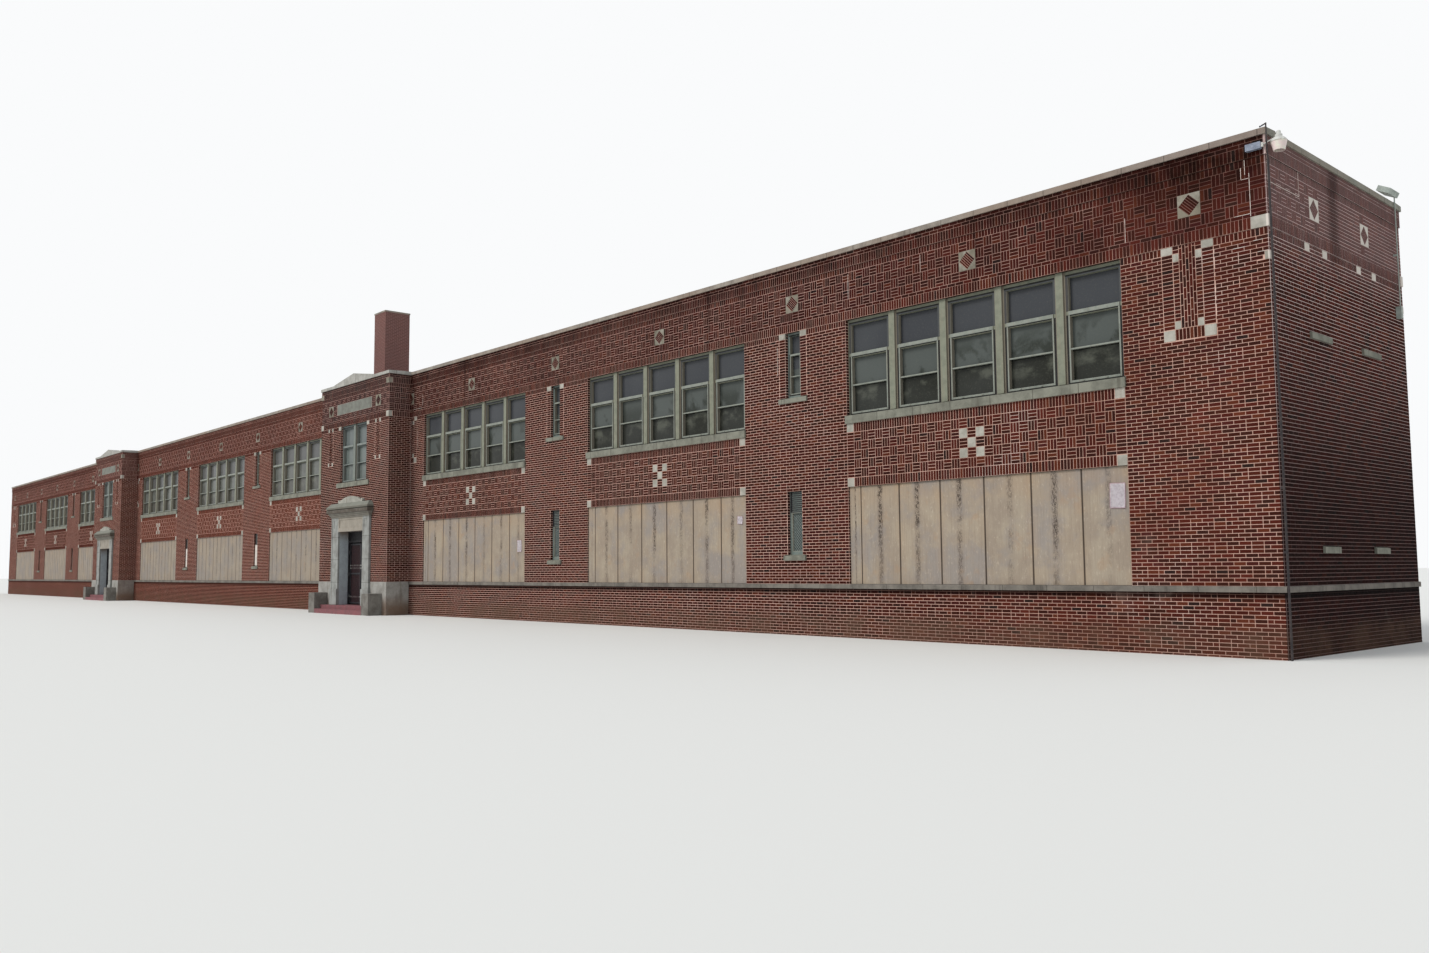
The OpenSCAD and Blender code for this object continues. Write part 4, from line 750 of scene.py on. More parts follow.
def spandrel(wall, centre):
    half = plan["group"] / 2
    edge = half - stoneSide / 2
    middle = (level["spandrel"] + level["sill"]) / 2 - stoneSide / 2
    wall.soldiers(centre - half, centre + half, level["spandrel"], level["spandrel"] + 1)
    wall.soldiers(centre - half, centre + half, level["sill"] - 1, level["sill"])
    for side in (-1, 1):
        a = centre + side * (half - 0.5) - 0.5
        wall.stack(a, a + 1, level["spandrel"] + 1, level["sill"] - 1)
        stoneHole(wall, centre + side * edge, level["spandrel"], stoneSide, stoneSide)
        stoneHole(wall, centre + side * edge, level["sill"] - stoneSide, stoneSide, stoneSide)
        for row in (-1, 1):
            stoneHole(wall, centre + side, middle + row, stoneSide, stoneSide)
    stoneHole(wall, centre, middle, stoneSide, stoneSide)
    wall.weave(centre - half + 1, centre + half - 1, level["spandrel"] + 1, 5)


diamond = {"half": 0.9, "bricks": 6, "relief": 0.0006}


def diamondHoles(wall, centres):
    for centre in centres:
        wall.hole(centre - 1, centre + 1, level["diamondLow"], level["diamondHigh"])


def cornerColumn(wall, u0, u1, out):
    # The wider cells next to a corner: three stretchers, then four bricks on end
    for row in range(4):
        low = level["weave"] + row
        (wall.soldiers if row % 2 else wall.stack)(u0, u1, low, low + 1, out)


def frieze(wall, u0, u1, diamonds, extraHoles=(), weaveTo=None, out=0.0, corner=0.0):
    # Belt of soldiers, basket weave between the diamonds, header band and the cap courses
    wall.soldiers(u0, u1, level["belt"], level["frieze"], site["beltOut"])
    wall.runningBond(u0, u1, level["frieze"], level["weave"], out, 0)
    if corner:
        cornerColumn(wall, u0, u0 + corner, out)
    stops = sorted([u0 + corner] + [d + s for d in diamonds for s in (-1, 1)] + [u1])
    for index, (a, b) in enumerate(zip(stops, stops[1:])):
        if index % 2:      # a diamond's own width: weave only below and above it
            for low in (level["weave"], level["diamondHigh"]):
                wall.weave(a, b, low, 1, out, index // 2 % 2)
        elif weaveTo is not None and a >= weaveTo:
            wall.runningBond(a, b, level["weave"], level["header"], out, 0)
        else:
            wall.weave(a, b, level["weave"], 4, out, index // 2 % 2)
    for a, b in extraHoles:
        wall.hole(a, b, level["diamondLow"], level["diamondHigh"])
    wall.soldiers(u0, u1, level["header"], level["cap"], out, bond["header"])
    wall.soldiers(u0, u1, level["cap"], level["capTop"], site["capOut"])
    wall.runningBond(u0, u1, level["capTop"], level["coping"], site["capOut"], 0)


def plainField(wall, u0, u1, z0, z1):
    # Running bond over a field, cut round the wall's panels
    field = Wall(wall.start, wall.run, wall.look)
    field.runningBond(u0, u1, z0, z1)
    field.holes = list(wall.panels)
    field.cut()
    wall.bricks += field.bricks


def rowlockBand(wall, spans):
    for a, b in spans:
        wall.soldiers(a, b, level["belt"] - lowStone, level["belt"], 0.0, bond["header"])
        wall.clear(a, b, level["belt"] - lowStone, level["belt"])


def narrowSides(wall, centre):
    # One stacked column on each side of an upper narrow window, under its low stone
    for side in (-1, 1):
        middle = centre + side * (plan["narrow"] / 2 + 0.5)
        wall.stack(middle - 0.5, middle + 0.5, plan["narrowUpper"], level["belt"] - lowStone)
        wall.clear(middle - 0.5, middle + 0.5, plan["narrowUpper"], level["belt"])
        stoneHole(wall, middle, level["belt"] - lowStone, 1.0, lowStone)


panel = {"foot": level["belt"] - 8.268, "half": 2.3, "outer": 1.79, "inner": 1.0, "slim": 0.28, "middle": 0.72,
         "base": 1.29, "sideFoot": level["belt"] - 7.28, "sideHalf": 1.12, "sideInner": 0.849, "sideSlim": 0.27,
         "sideMiddle": 0.58}


def panelSide(wall, middle, side):
    # Stacked columns on one side of a panel's middle, with stones at their ends
    foot, top = panel["foot"], level["belt"]
    outer, inner, slim = middle + side * panel["outer"], middle + side * panel["inner"], panel["slim"]
    wall.stack(outer - 0.5, outer + 0.5, foot + 1, top - lowStone)
    wall.stack(inner - slim, inner + slim, foot + 1, top)
    stoneHole(wall, outer, top - lowStone, 1.0, lowStone)
    stoneHole(wall, inner, top - 2 * lowStone - 0.044, slimStone, lowStone)
    stoneHole(wall, inner, foot + stoneSide + 0.044, slimStone, lowStone)
    stoneHole(wall, outer, foot, 1.0, stoneSide)


def endPanel(wall, centre):
    # Upright panel of bricks on end between stacked columns, with stones at its corners
    foot, half, middle, base = panel["foot"], panel["half"], panel["middle"], panel["base"]
    wall.clear(centre - half, centre + half, foot, level["belt"])
    for side in (-1, 1):
        panelSide(wall, centre, side)
    wall.upright(centre - middle, centre + middle, foot + 1, level["belt"], 5)
    wall.soldiers(centre - base, centre + base, foot, foot + 1)


def flankPanel(wall, corner, side):
    # Half of an end panel and half a diamond, cut off by the pavilion's corner
    foot = panel["foot"]
    wall.clear(*sorted((corner, corner + side * panel["half"])), foot, level["belt"])
    panelSide(wall, corner, side)
    wall.upright(*sorted((corner, corner + side * panel["middle"])), foot + 1, level["belt"], 2)
    wall.soldiers(*sorted((corner, corner + side * panel["base"])), foot, foot + 1)
    wall.hole(*sorted((corner - side * 0.1, corner + side)), level["diamondLow"], level["diamondHigh"])


def sidePanel(wall, centre):
    # Small upright panel with four narrow stones
    foot, half, slim, middle = panel["sideFoot"], panel["sideHalf"], panel["sideSlim"], panel["sideMiddle"]
    wall.clear(centre - half, centre + half, foot, level["belt"])
    for side in (-1, 1):
        inner = centre + side * panel["sideInner"]
        wall.stack(inner - slim, inner + slim, foot, level["belt"])
        stoneHole(wall, inner, level["belt"] - lowStone, slimStone, lowStone)
        stoneHole(wall, inner, foot, slimStone, lowStone)
    wall.upright(centre - middle, centre + middle, foot, level["belt"], 4)


cornerStone = (30.94, 31.62)        # foot and top of the small stone on each corner
sidePanelAt = 10.2                  # a pavilion's small panels and diamonds, from its middle


def groupBays(wall, groups):
    # Boarded windows below, the spandrel, and grouped windows with their long sill above
    half, sillHalf = plan["group"] / 2, plan["group"] / 2 + 0.13
    for g in groups:
        wall.hole(g - half, g + half, level["lower"], level["spandrel"])
        wall.hole(g - sillHalf, g + sillHalf, level["sill"], level["upper"])
        wall.hole(g - half, g + half, level["upper"], level["belt"])
        wall.clear(g - half, g + half, level["lower"], level["belt"])
        spandrel(wall, g)


# Foot, head and width of sill of the narrow windows, which the ends have bricked up
narrowBays = ((plan["narrowUpper"], level["belt"], plan["upperSillWidth"]),
              (plan["narrowLower"], level["spandrel"], plan["lowerSillWidth"]))


def sillHole(wall, centre, foot, width):
    wall.hole(centre - width / 2, centre + width / 2, foot - plan["narrowSill"], foot)


def pierBays(wall, piers):
    # Narrow windows, and the plain stretches on both sides of them
    spans, half, near, far = [], plan["narrow"] / 2, plan["narrow"] / 2 + 1, plan["pier"] / 2
    for p in piers:
        for low, top, sillWidth in narrowBays:
            wall.hole(p - half, p + half, low, top)
            sillHole(wall, p, low, sillWidth)
        narrowSides(wall, p)
        spans += [(p - far, p - near), (p + near, p + far)]
    return spans


def wingWall(side):
    # Outer wing: u runs from the building's end (0) towards the pavilion
    wall = Wall((xRight if side > 0 else xLeft, yFront, zGround), (-side, 0, 0), (0, -1, 0))
    groupBays(wall, wingGroups)
    pierSpans = pierBays(wall, wingPiers)
    bay = plan["endBay"] / 2
    middle, half = bay + 0.35, panel["half"]
    endPanel(wall, middle)
    flankPanel(wall, wingEnd, -1)
    rowlockBand(wall, [(0, middle - half), (middle + half, plan["endBay"])] + pierSpans
                + [(wingEnd - plan["flank"], wingEnd - half)])
    diamonds = [bay] + sorted(wingGroups + wingPiers)
    frieze(wall, 0.0, wingEnd, diamonds, corner=1.333)
    diamondHoles(wall, diamonds)
    wall.hole(-1, wingEnd + 1, level["table"], level["lower"])
    wall.hole(-0.1, 1.35, level["belt"], level["frieze"])
    wall.hole(-0.1, 0.36, *cornerStone)
    plainField(wall, 0.0, wingEnd, level["foot"], level["belt"])
    return wall


def middleWall():
    wall = Wall((xMid, yFront, zGround), (1, 0, 0), (0, -1, 0))
    groupBays(wall, middleGroups)
    for side in (-1, 1):
        flankPanel(wall, side * middleEnd, -side)
    half, flank = panel["half"], plan["flank"]
    rowlockBand(wall, [(-middleEnd + half, -middleEnd + flank), (middleEnd - flank, middleEnd - half)]
                + pierBays(wall, middlePiers))
    diamonds = sorted(middleGroups + middlePiers)
    frieze(wall, -middleEnd, middleEnd, diamonds)
    diamondHoles(wall, diamonds)
    wall.hole(-middleEnd - 1, middleEnd + 1, level["table"], level["lower"])
    plainField(wall, -middleEnd, middleEnd, level["foot"], level["belt"])
    return wall


def pavilionFront(side):
    half = site["pavilionHalf"] / grid
    wall = Wall((xMid + side * site["pavilionX"], yFront - site["pavilionOut"], zGround), (1, 0, 0), (0, -1, 0))
    wall.hole(-plan["pair"] / 2, plan["pair"] / 2, level["upper"], level["belt"])
    wall.hole(-plan["pairSill"] / 2, plan["pairSill"] / 2, level["sill"], level["upper"])
    wall.hole(-8.05, 8.05, 0.0, 18.9)       # the entrance's stones
    for s in (-1, 1):
        stoneHole(wall, s * (plan["pair"] / 2 + 0.5), level["belt"] - lowStone, 1.0, lowStone)
        sidePanel(wall, s * sidePanelAt)
        edge = sorted((s * (half + 0.1), s * (half - stoneSide)))
        wall.hole(*edge, level["belt"], level["frieze"])
        wall.hole(*edge, level["cap"], level["cap"] + stoneSide)
    rowlockBand(wall, [(-half, -11.3), (-9.1, -6.6), (6.6, 9.1), (11.3, half)])
    frieze(wall, -half, half, [-sidePanelAt, sidePanelAt], [(-7.55, 7.55)])
    diamondHoles(wall, (-sidePanelAt, sidePanelAt))
    plainField(wall, -half, half, level["lower"], level["belt"])
    return wall


def pavilionReturn(side, face):
    # A pavilion's side, from its front corner back to the wing
    run = site["pavilionOut"] / grid
    wall = Wall((xMid + side * site["pavilionX"] + face * site["pavilionHalf"], yFront - site["pavilionOut"],
                 zGround), (0, 1, 0), (face, 0, 0))
    wall.hole(-0.1, 0.6, level["belt"], level["frieze"])
    wall.hole(-0.1, 0.6, level["cap"], level["cap"] + stoneSide)
    frieze(wall, 0.0, run, [])
    plainField(wall, 0.0, run, level["lower"], level["belt"])
    return wall


def endWall(side):
    wall = Wall((xRight if side > 0 else xLeft, yFront, zGround), (0, 1, 0), (side, 0, 0))
    half = 1.45         # of a bricked-up window
    for b in blinds:
        for low, top, sillWidth in narrowBays:
            sillHole(wall, b, low, sillWidth)
            wall.clear(b - half, b + half, low, top)
        for s in (-1, 1):
            stoneHole(wall, b + s * (half + 0.5), level["belt"] - lowStone, 1.0, lowStone)
    near = half + 1
    rowlockBand(wall, [(0.5, blinds[0] - near), (blinds[0] + near, blinds[1] - near), (blinds[1] + near, depth - 0.5)])
    frieze(wall, 0.0, depth, blinds, weaveTo=blinds[0])
    diamondHoles(wall, blinds)
    wall.hole(-1, depth + 1, level["table"], level["lower"])
    for wide, low, high in ((0.56, level["belt"], level["frieze"]), (0.36, *cornerStone)):
        wall.hole(-0.1, wide, low, high)
        wall.hole(depth - wide, depth + 0.1, low, high)
    plainField(wall, 0.0, depth, level["foot"], level["belt"])
    # The bricked-up windows have their own bond, which doesn't line up with the wall's
    for b in blinds:
        for low, top, _ in narrowBays:
            wall.runningBond(b - half, b + half, low, top, 0.0, 0)
    return wall


def chimneyWalls():
    low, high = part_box("chimney")
    top = (high.z - zGround) / grid
    bottom = (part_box("roof_deck")[1].z - zGround) / grid
    made = []
    for x, y, run, look in ((low.x, low.y, (1, 0, 0), (0, -1, 0)), (high.x, low.y, (0, 1, 0), (1, 0, 0)),
                            (low.x, high.y, (1, 0, 0), (0, 1, 0)), (low.x, low.y, (0, 1, 0), (-1, 0, 0))):
        wall = Wall((x, y, zGround), run, look)
        wide = (high.x - low.x if run[0] else high.y - low.y) / grid
        wall.runningBond(0.0, wide, bottom, top - 0.02, 0.0, 0)
        made.append(wall)
    return made


brickwork = {"relief": 0.00030, "reliefSpread": 0.00018, "smallest": 0.0008}


def openTree(name, *inputs):
    # An empty tree with named inputs, and how to add, link and read a point's own values
    tree = bpy.data.node_groups.new(name, "GeometryNodeTree")
    for label, kind, way in (("Geometry", "Geometry", "INPUT"), *((*pair, "INPUT") for pair in inputs),
                             ("Geometry", "Geometry", "OUTPUT")):
        tree.interface.new_socket(label, in_out=way, socket_type="NodeSocket" + kind)
    new, link = tree.nodes.new, tree.links.new

    def pointValue(label):
        made = new("GeometryNodeInputNamedAttribute")
        made.data_type = "FLOAT_VECTOR"
        made.inputs["Name"].default_value = label
        return made.outputs["Attribute"]
    return tree, new, link, new("NodeGroupInput").outputs, pointValue


def closeTree(tree, given, place, seed):
    # A random tone for every piece, then plain meshes in their material
    new, link = tree.nodes.new, tree.links.new
    tone, store = new("FunctionNodeRandomValue"), new("GeometryNodeStoreNamedAttribute")
    real, paint, out = new("GeometryNodeRealizeInstances"), new("GeometryNodeSetMaterial"), new("NodeGroupOutput")
    tone.data_type, store.data_type, store.domain = "FLOAT", "FLOAT", "INSTANCE"
    store.inputs["Name"].default_value = "tone"
    for source, socket in ((seed, tone.inputs["Seed"]), (tone.outputs[1], store.inputs["Value"]),
                           (place.outputs[0], store.inputs["Geometry"]), (store.outputs[0], real.inputs[0]),
                           (real.outputs[0], paint.inputs["Geometry"]), (given["Finish"], paint.inputs["Material"]),
                           (paint.outputs[0], out.inputs[0])):
        link(source, socket)
    return tree


def brickTree():
    # Lays one open-backed brick on every point, sized and turned by the point's own values
    tree, new, link, given, pointValue = openTree("LayBricks", ("Relief", "Float"), ("Relief spread", "Float"),
                                                  ("Seed", "Int"), ("Finish", "Material"))
    cube, move, drop = new("GeometryNodeMeshCube"), new("GeometryNodeTransform"), new("GeometryNodeDeleteGeometry")
    normal, facing, behind = new("GeometryNodeInputNormal"), new("ShaderNodeSeparateXYZ"), new("FunctionNodeCompare")
    cube.inputs["Size"].default_value = (1, 1, 1)
    move.inputs["Translation"].default_value = (0, -0.5, 0)
    drop.domain = "FACE"
    behind.inputs["B"].default_value = 0.5
    link(cube.outputs["Mesh"], move.inputs["Geometry"])
    link(normal.outputs[0], facing.inputs[0])
    link(facing.outputs["Y"], behind.inputs["A"])
    link(move.outputs[0], drop.inputs["Geometry"])
    link(behind.outputs[0], drop.inputs["Selection"])
    jitter, spread = new("FunctionNodeRandomValue"), new("ShaderNodeMath")
    jitter.data_type, spread.operation = "FLOAT", "MULTIPLY_ADD"
    link(given["Seed"], jitter.inputs["Seed"])
    for source, socket in zip((jitter.outputs[1], given["Relief spread"], given["Relief"]), spread.inputs):
        link(source, socket)
    size, scale = new("ShaderNodeSeparateXYZ"), new("ShaderNodeCombineXYZ")
    link(pointValue("size"), size.inputs[0])
    for source, socket in zip((size.outputs["X"], spread.outputs[0], size.outputs["Z"]), scale.inputs):
        link(source, socket)
    place, toneSeed = new("GeometryNodeInstanceOnPoints"), new("ShaderNodeMath")
    toneSeed.operation = "ADD"
    toneSeed.inputs[1].default_value = 100
    link(given["Seed"], toneSeed.inputs[0])
    for source, label in ((given["Geometry"], "Points"), (drop.outputs[0], "Instance"),
                          (pointValue("turn"), "Rotation"), (scale.outputs[0], "Scale")):
        link(source, place.inputs[label])
    return closeTree(tree, given, place, toneSeed.outputs[0])


def spreadTree():
    # Puts one drawn piece on every point, with each point's size and turn
    tree, new, link, given, pointValue = openTree("SpreadPieces", ("Piece", "Object"), ("Seed", "Int"),
                                                  ("Finish", "Material"))
    drawn, place = new("GeometryNodeObjectInfo"), new("GeometryNodeInstanceOnPoints")
    link(given["Piece"], drawn.inputs["Object"])
    for source, label in ((given["Geometry"], "Points"), (drawn.outputs["Geometry"], "Instance"),
                          (pointValue("turn"), "Rotation"), (pointValue("size"), "Scale")):
        link(source, place.inputs[label])
    return closeTree(tree, given, place, given["Seed"])


def socketId(tree, label):
    return next(s.identifier for s in tree.interface.items_tree
                if s.item_type == "SOCKET" and s.in_out == "INPUT" and s.name == label)


def throughTree(name, mesh, tree, values, slot):
    # Runs a mesh through a node tree and keeps the plain result as a piece of the building
    carrier = bpy.data.objects.new(name + "Points", mesh)
    scene.collection.objects.link(carrier)
    modifier = carrier.modifiers.new("nodes", "NODES")
    modifier.node_group = tree
    for label, value in values.items():
        modifier[socketId(tree, label)] = value
    graph = bpy.context.evaluated_depsgraph_get()
    result = bpy.data.meshes.new_from_object(carrier.evaluated_get(graph), preserve_all_data_layers=True,
                                             depsgraph=graph)
    carrier.modifiers.clear()
    bpy.data.objects.remove(carrier)
    keep(name, result, slot)


def keep(name, mesh, slot):
    piece = bpy.data.objects.new(name, mesh)
    mesh.name = name
    scene.collection.objects.link(piece)
    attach(piece, "building")


def pointsMesh(name, spots, **vectors):
    mesh = bpy.data.meshes.new(name)
    mesh.vertices.add(len(spots))
    mesh.vertices.foreach_set("co", np.asarray(spots, dtype=np.float32).ravel())
    for key, rows in vectors.items():
        layer = mesh.attributes.new(key, "FLOAT_VECTOR", "POINT")
        layer.data.foreach_set("vector", np.asarray(rows, dtype=np.float32).ravel())
    return mesh


def layWalls(name, walls, tree, seed):
    spots, sizes, turns = [], [], []
    for wall in walls:
        wall.cut()
        spin = math.atan2(wall.look.x, -wall.look.y)
        for u0, u1, z0, z1, out in wall.bricks:
            wide, tall = (u1 - u0 - joint) * grid, (z1 - z0 - joint) * grid
            if min(wide, tall) <= brickwork["smallest"]:
                continue
            spot = wall.start + wall.run * ((u0 + u1) / 2 * grid) + wall.look * out
            spots.append((spot.x, spot.y, spot.z + (z0 + z1) / 2 * grid))
            sizes.append((wide, 1.0, tall))
            turns.append((0.0, 0.0, spin))
    order = np.argsort(np.asarray(spots)[:, 0], kind="stable")
    spots, sizes, turns = (np.asarray(rows)[order] for rows in (spots, sizes, turns))
    throughTree(name, pointsMesh(name, spots, size=sizes, turn=turns), tree, {
        "Relief": brickwork["relief"], "Relief spread": brickwork["reliefSpread"], "Seed": seed,
        "Finish": laidBrick}, "brick")
    print("  %s: %d bricks" % (name, len(spots)))
    return len(spots)


print("brickwork")
layBricks, laid = brickTree(), 0
for name, seed, walls in (
        ("right_wing", 11, [wingWall(1)]), ("left_wing", 21, [wingWall(-1)]), ("middle", 31, [middleWall()]),
        ("pavilions", 41, [pavilionFront(s) for s in (-1, 1)]
         + [pavilionReturn(s, f) for s in (-1, 1) for f in (-1, 1)]),
        ("ends", 51, [endWall(1), endWall(-1)]), ("chimney", 61, chimneyWalls())):
    laid += layWalls("brickwork_" + name, walls, layBricks, seed)
print("  bricks in all:", laid, "triangles:", laid * 10)


def clipped(points, side):
    # Keeps the part of an outline whose first value has the given sign
    kept = []
    for (a, b), (c, d) in zip(points, points[1:] + points[:1]):
        inside, nextInside = a * side >= 0, c * side >= 0
        if inside:
            kept.append((a, b))
        if inside != nextInside:
            part = a / (a - c)
            kept.append((0.0, b + (d - b) * part))
    return kept


def slantBricks(builder, tones, start, run, look, centre, side=0):
    # Six slanting bricks fill one diamond of the frieze
    half, bricks, relief = diamond["half"], diamond["bricks"], diamond["relief"]
    middle = (level["diamondLow"] + level["diamondHigh"]) / 2
    for i in range(bricks):
        s, t = half * (i / bricks) + joint / 3, half * ((i + 1) / bricks) - joint / 3
        outline = [(-half + s, -s), (-half + t, -t), (t, half - t), (s, half - s)]
        if side:
            outline = clipped(outline, side)
        if len(outline) < 3:
            continue
        count = len(outline)
        verts = []
        for out in (0.0, relief):
            for a, b in outline:
                spot = start + run * ((centre + a) * grid) + look * out
                verts.append(builder.verts.new((spot.x, spot.y, zGround + (middle + b) * grid)))
        builder.faces.new(verts[count:])
        for k in range(count):
            m = (k + 1) % count
            builder.faces.new((verts[k], verts[m], verts[count + m], verts[count + k]))
        tones.extend([(i * 0.37 + centre * 0.61) % 1.0] * len(verts))


print("diamonds")
builder, tones = bmesh.new(), []
south, east = Vector((0, -1, 0)), Vector((1, 0, 0))
middleStart = Vector((xMid, yFront, 0))
for side, x in ((1, xRight), (-1, xLeft)):
    wingStart, outwards = Vector((x, yFront, 0)), Vector((side, 0, 0))
    for spot in [plan["endBay"] / 2] + wingGroups + wingPiers:
        slantBricks(builder, tones, wingStart, -outwards, south, spot)
    slantBricks(builder, tones, wingStart, -outwards, south, wingEnd, -1)
    slantBricks(builder, tones, middleStart, outwards, south, middleEnd, -1)
    pavilionStart = Vector((xMid + side * site["pavilionX"], yFront - site["pavilionOut"], 0))
    for blind, spot in zip(blinds, (-sidePanelAt, sidePanelAt)):
        slantBricks(builder, tones, wingStart, -south, outwards, blind)
        slantBricks(builder, tones, pavilionStart, east, south, spot)
for spot in sorted(middleGroups + middlePiers):
    slantBricks(builder, tones, middleStart, east, south, spot)
bmesh.ops.recalc_face_normals(builder, faces=builder.faces)
diamondMesh = bpy.data.meshes.new("diamonds")
builder.to_mesh(diamondMesh)
builder.free()
layer = diamondMesh.attributes.new("tone", "FLOAT", "POINT")
layer.data.foreach_set("value", np.asarray(tones, dtype=np.float32))
diamondMesh.materials.append(laidBrick)
keep("diamond_bricks", diamondMesh, "brick")


# Windows, boards and small things that repeat

def addBoxes(made, boxes, mark=None, value=0.0):
    for low, high in boxes:
        cube = bmesh.ops.create_cube(made, size=1.0)["verts"]
        middle, size = (Vector(low) + Vector(high)) / 2, Vector(high) - Vector(low)
        for v in cube:
            v.co = Vector((v.co.x * size.x, v.co.y * size.y, v.co.z * size.z)) + middle
            if mark:
                v[mark] = value


def meshFrom(made, name, mat, **values):
    # Turns drawn shapes into a mesh in its material, with a value per point where one is given
    mesh = bpy.data.meshes.new(name)
    made.to_mesh(mesh)
    made.free()
    mesh.materials.append(mat)
    for label, valueOf in values.items():
        layer = mesh.attributes.new(label, "FLOAT", "POINT")
        layer.data.foreach_set("value", np.asarray([valueOf(v.co) for v in mesh.vertices], dtype=np.float32))
    return mesh


def boxMesh(name, boxes, mat, bevel=0.0, parts=None):
    # Boxes given by two corners each, eased where a bevel is given, and sharp ones marked with a value
    made = bmesh.new()
    mark = made.verts.layers.float.new("part") if parts else None
    addBoxes(made, boxes)
    if bevel:
        bmesh.ops.bevel(made, geom=made.edges, offset=bevel, segments=1, affect="EDGES")
    for value, marked in (parts or {}).items():
        addBoxes(made, marked, mark, value)
    return meshFrom(made, name, mat)


def gridFaces(made, rows):
    for low, high in zip(rows, rows[1:]):
        for i in range(len(low) - 1):
            made.faces.new((low[i], low[i + 1], high[i + 1], high[i]))


# Joints filled again with white mortar: from one spot to the next, in grid steps from the right corner
repaired = {
    "front": [((-1.333, 34.8), (-1.333, 38.4)), ((-35.4, 37.0), (-35.4, 38.8)),
              ((-45.5, 36.0), (-45.5, 38.8)), ((-2.667, 35.0), (-1.333, 35.0)), ((-0.9, 31.67), (-0.05, 31.67)),
              ((-2.9, 32.33), (-1.9, 32.33)), ((-1.2, 32.67), (-0.5, 32.67)), ((-56.75, 28.8), (-56.75, 32.2)),
              ((-147.3, 28.0), (-147.3, 31.0)), ((-149.0, 35.0), (-146.0, 35.0)), ((-149.93, 12.0), (-149.93, 33.0)),
              ((-2.0, 38.0), (-1.333, 38.0)), ((-2.0, 38.0), (-2.0, 39.0)), ((-1.667, 38.4), (-1.667, 39.6)),
              ((-145.6, 35.4), (-145.6, 37.4)), ((-12.4, 35.0), (-12.4, 37.2))],
    "end": [((0.3, 37.5), (0.3, 39.6)), ((0.3, 37.5), (6.6, 37.5)), ((6.6, 37.5), (6.6, 39.9))],
    "half": joint * 0.36, "endHalf": joint * 0.54, "bedded": 0.0005,
    "out": brickwork["relief"] + brickwork["reliefSpread"] + 0.00005,
}


def repairedJoints():
    boxes = []
    for side, half in (("front", repaired["half"]), ("end", repaired["endHalf"])):
        for (u0, z0), (u1, z1) in repaired[side]:
            (u0, u1), (z0, z1) = sorted((u0, u1)), sorted((z0, z1))
            low, high = zGround + (z0 - half) * grid, zGround + (z1 + half) * grid
            if side == "end":
                boxes.append(((xRight - repaired["bedded"], yFront + (u0 - half) * grid, low),
                              (xRight + repaired["out"], yFront + (u1 + half) * grid, high)))
            else:
                boxes.append(((xRight + (u0 - half) * grid, yFront - repaired["out"], low),
                              (xRight + (u1 + half) * grid, yFront + repaired["bedded"], high)))
    f = Finish("repaired_mortar")
    patch = f.noise(120.0, 4.0, 0.65)
    colour = f.mix(f.between(patch, 0.35, 0.65), (224, 214, 206), (184, 166, 156))
    return boxMesh("repaired", boxes, f.done(colour, 0.9, patch, 0.0002, 0.6, 0.05))


keep("repaired_joints", repairedJoints(), "brick")
spread = spreadTree()


def spreadPiece(name, drawn, spots, mat, slot, turns, sizes=None, seed=3):
    pattern = bpy.data.objects.new(name + "Drawn", drawn)
    scene.collection.objects.link(pattern)
    mesh = pointsMesh(name, spots, size=sizes or [(1, 1, 1)] * len(spots), turn=turns)
    throughTree(name, mesh, spread, {"Piece": pattern, "Seed": seed, "Finish": mat}, slot)
    bpy.data.objects.remove(pattern)


# Middles of the groups and piers along X, front and rear
groupXs, pierXs = [xMid + g * grid for g in middleGroups], [xMid + p * grid for p in middlePiers]
for side, x in ((1, xRight), (-1, xLeft)):
    groupXs += [x - side * g * grid for g in wingGroups]
    pierXs += [x - side * p * grid for p in wingPiers]
frontAndRear = ((yFront, 0.0), (yRear, math.pi))
pavilionXs = [xMid + s * site["pavilionX"] for s in (-1, 1)]

sash = {"light": 0.11892, "mullion": 0.0354, "stile": 0.0091, "set": 0.010, "depth": 0.010,
        "upperZ": (0.71818, 0.79162), "sillZ": 0.56078, "headZ": 0.80462,
        "member": 0.0039, "foot": 0.0048, "bar": 0.0036, "barZ": 0.6363, "rail": 0.0084, "proud": 0.0014,
        "gap": 0.0024, "side": 0.0051, "board": 0.0090, "boardOut": 0.0050}


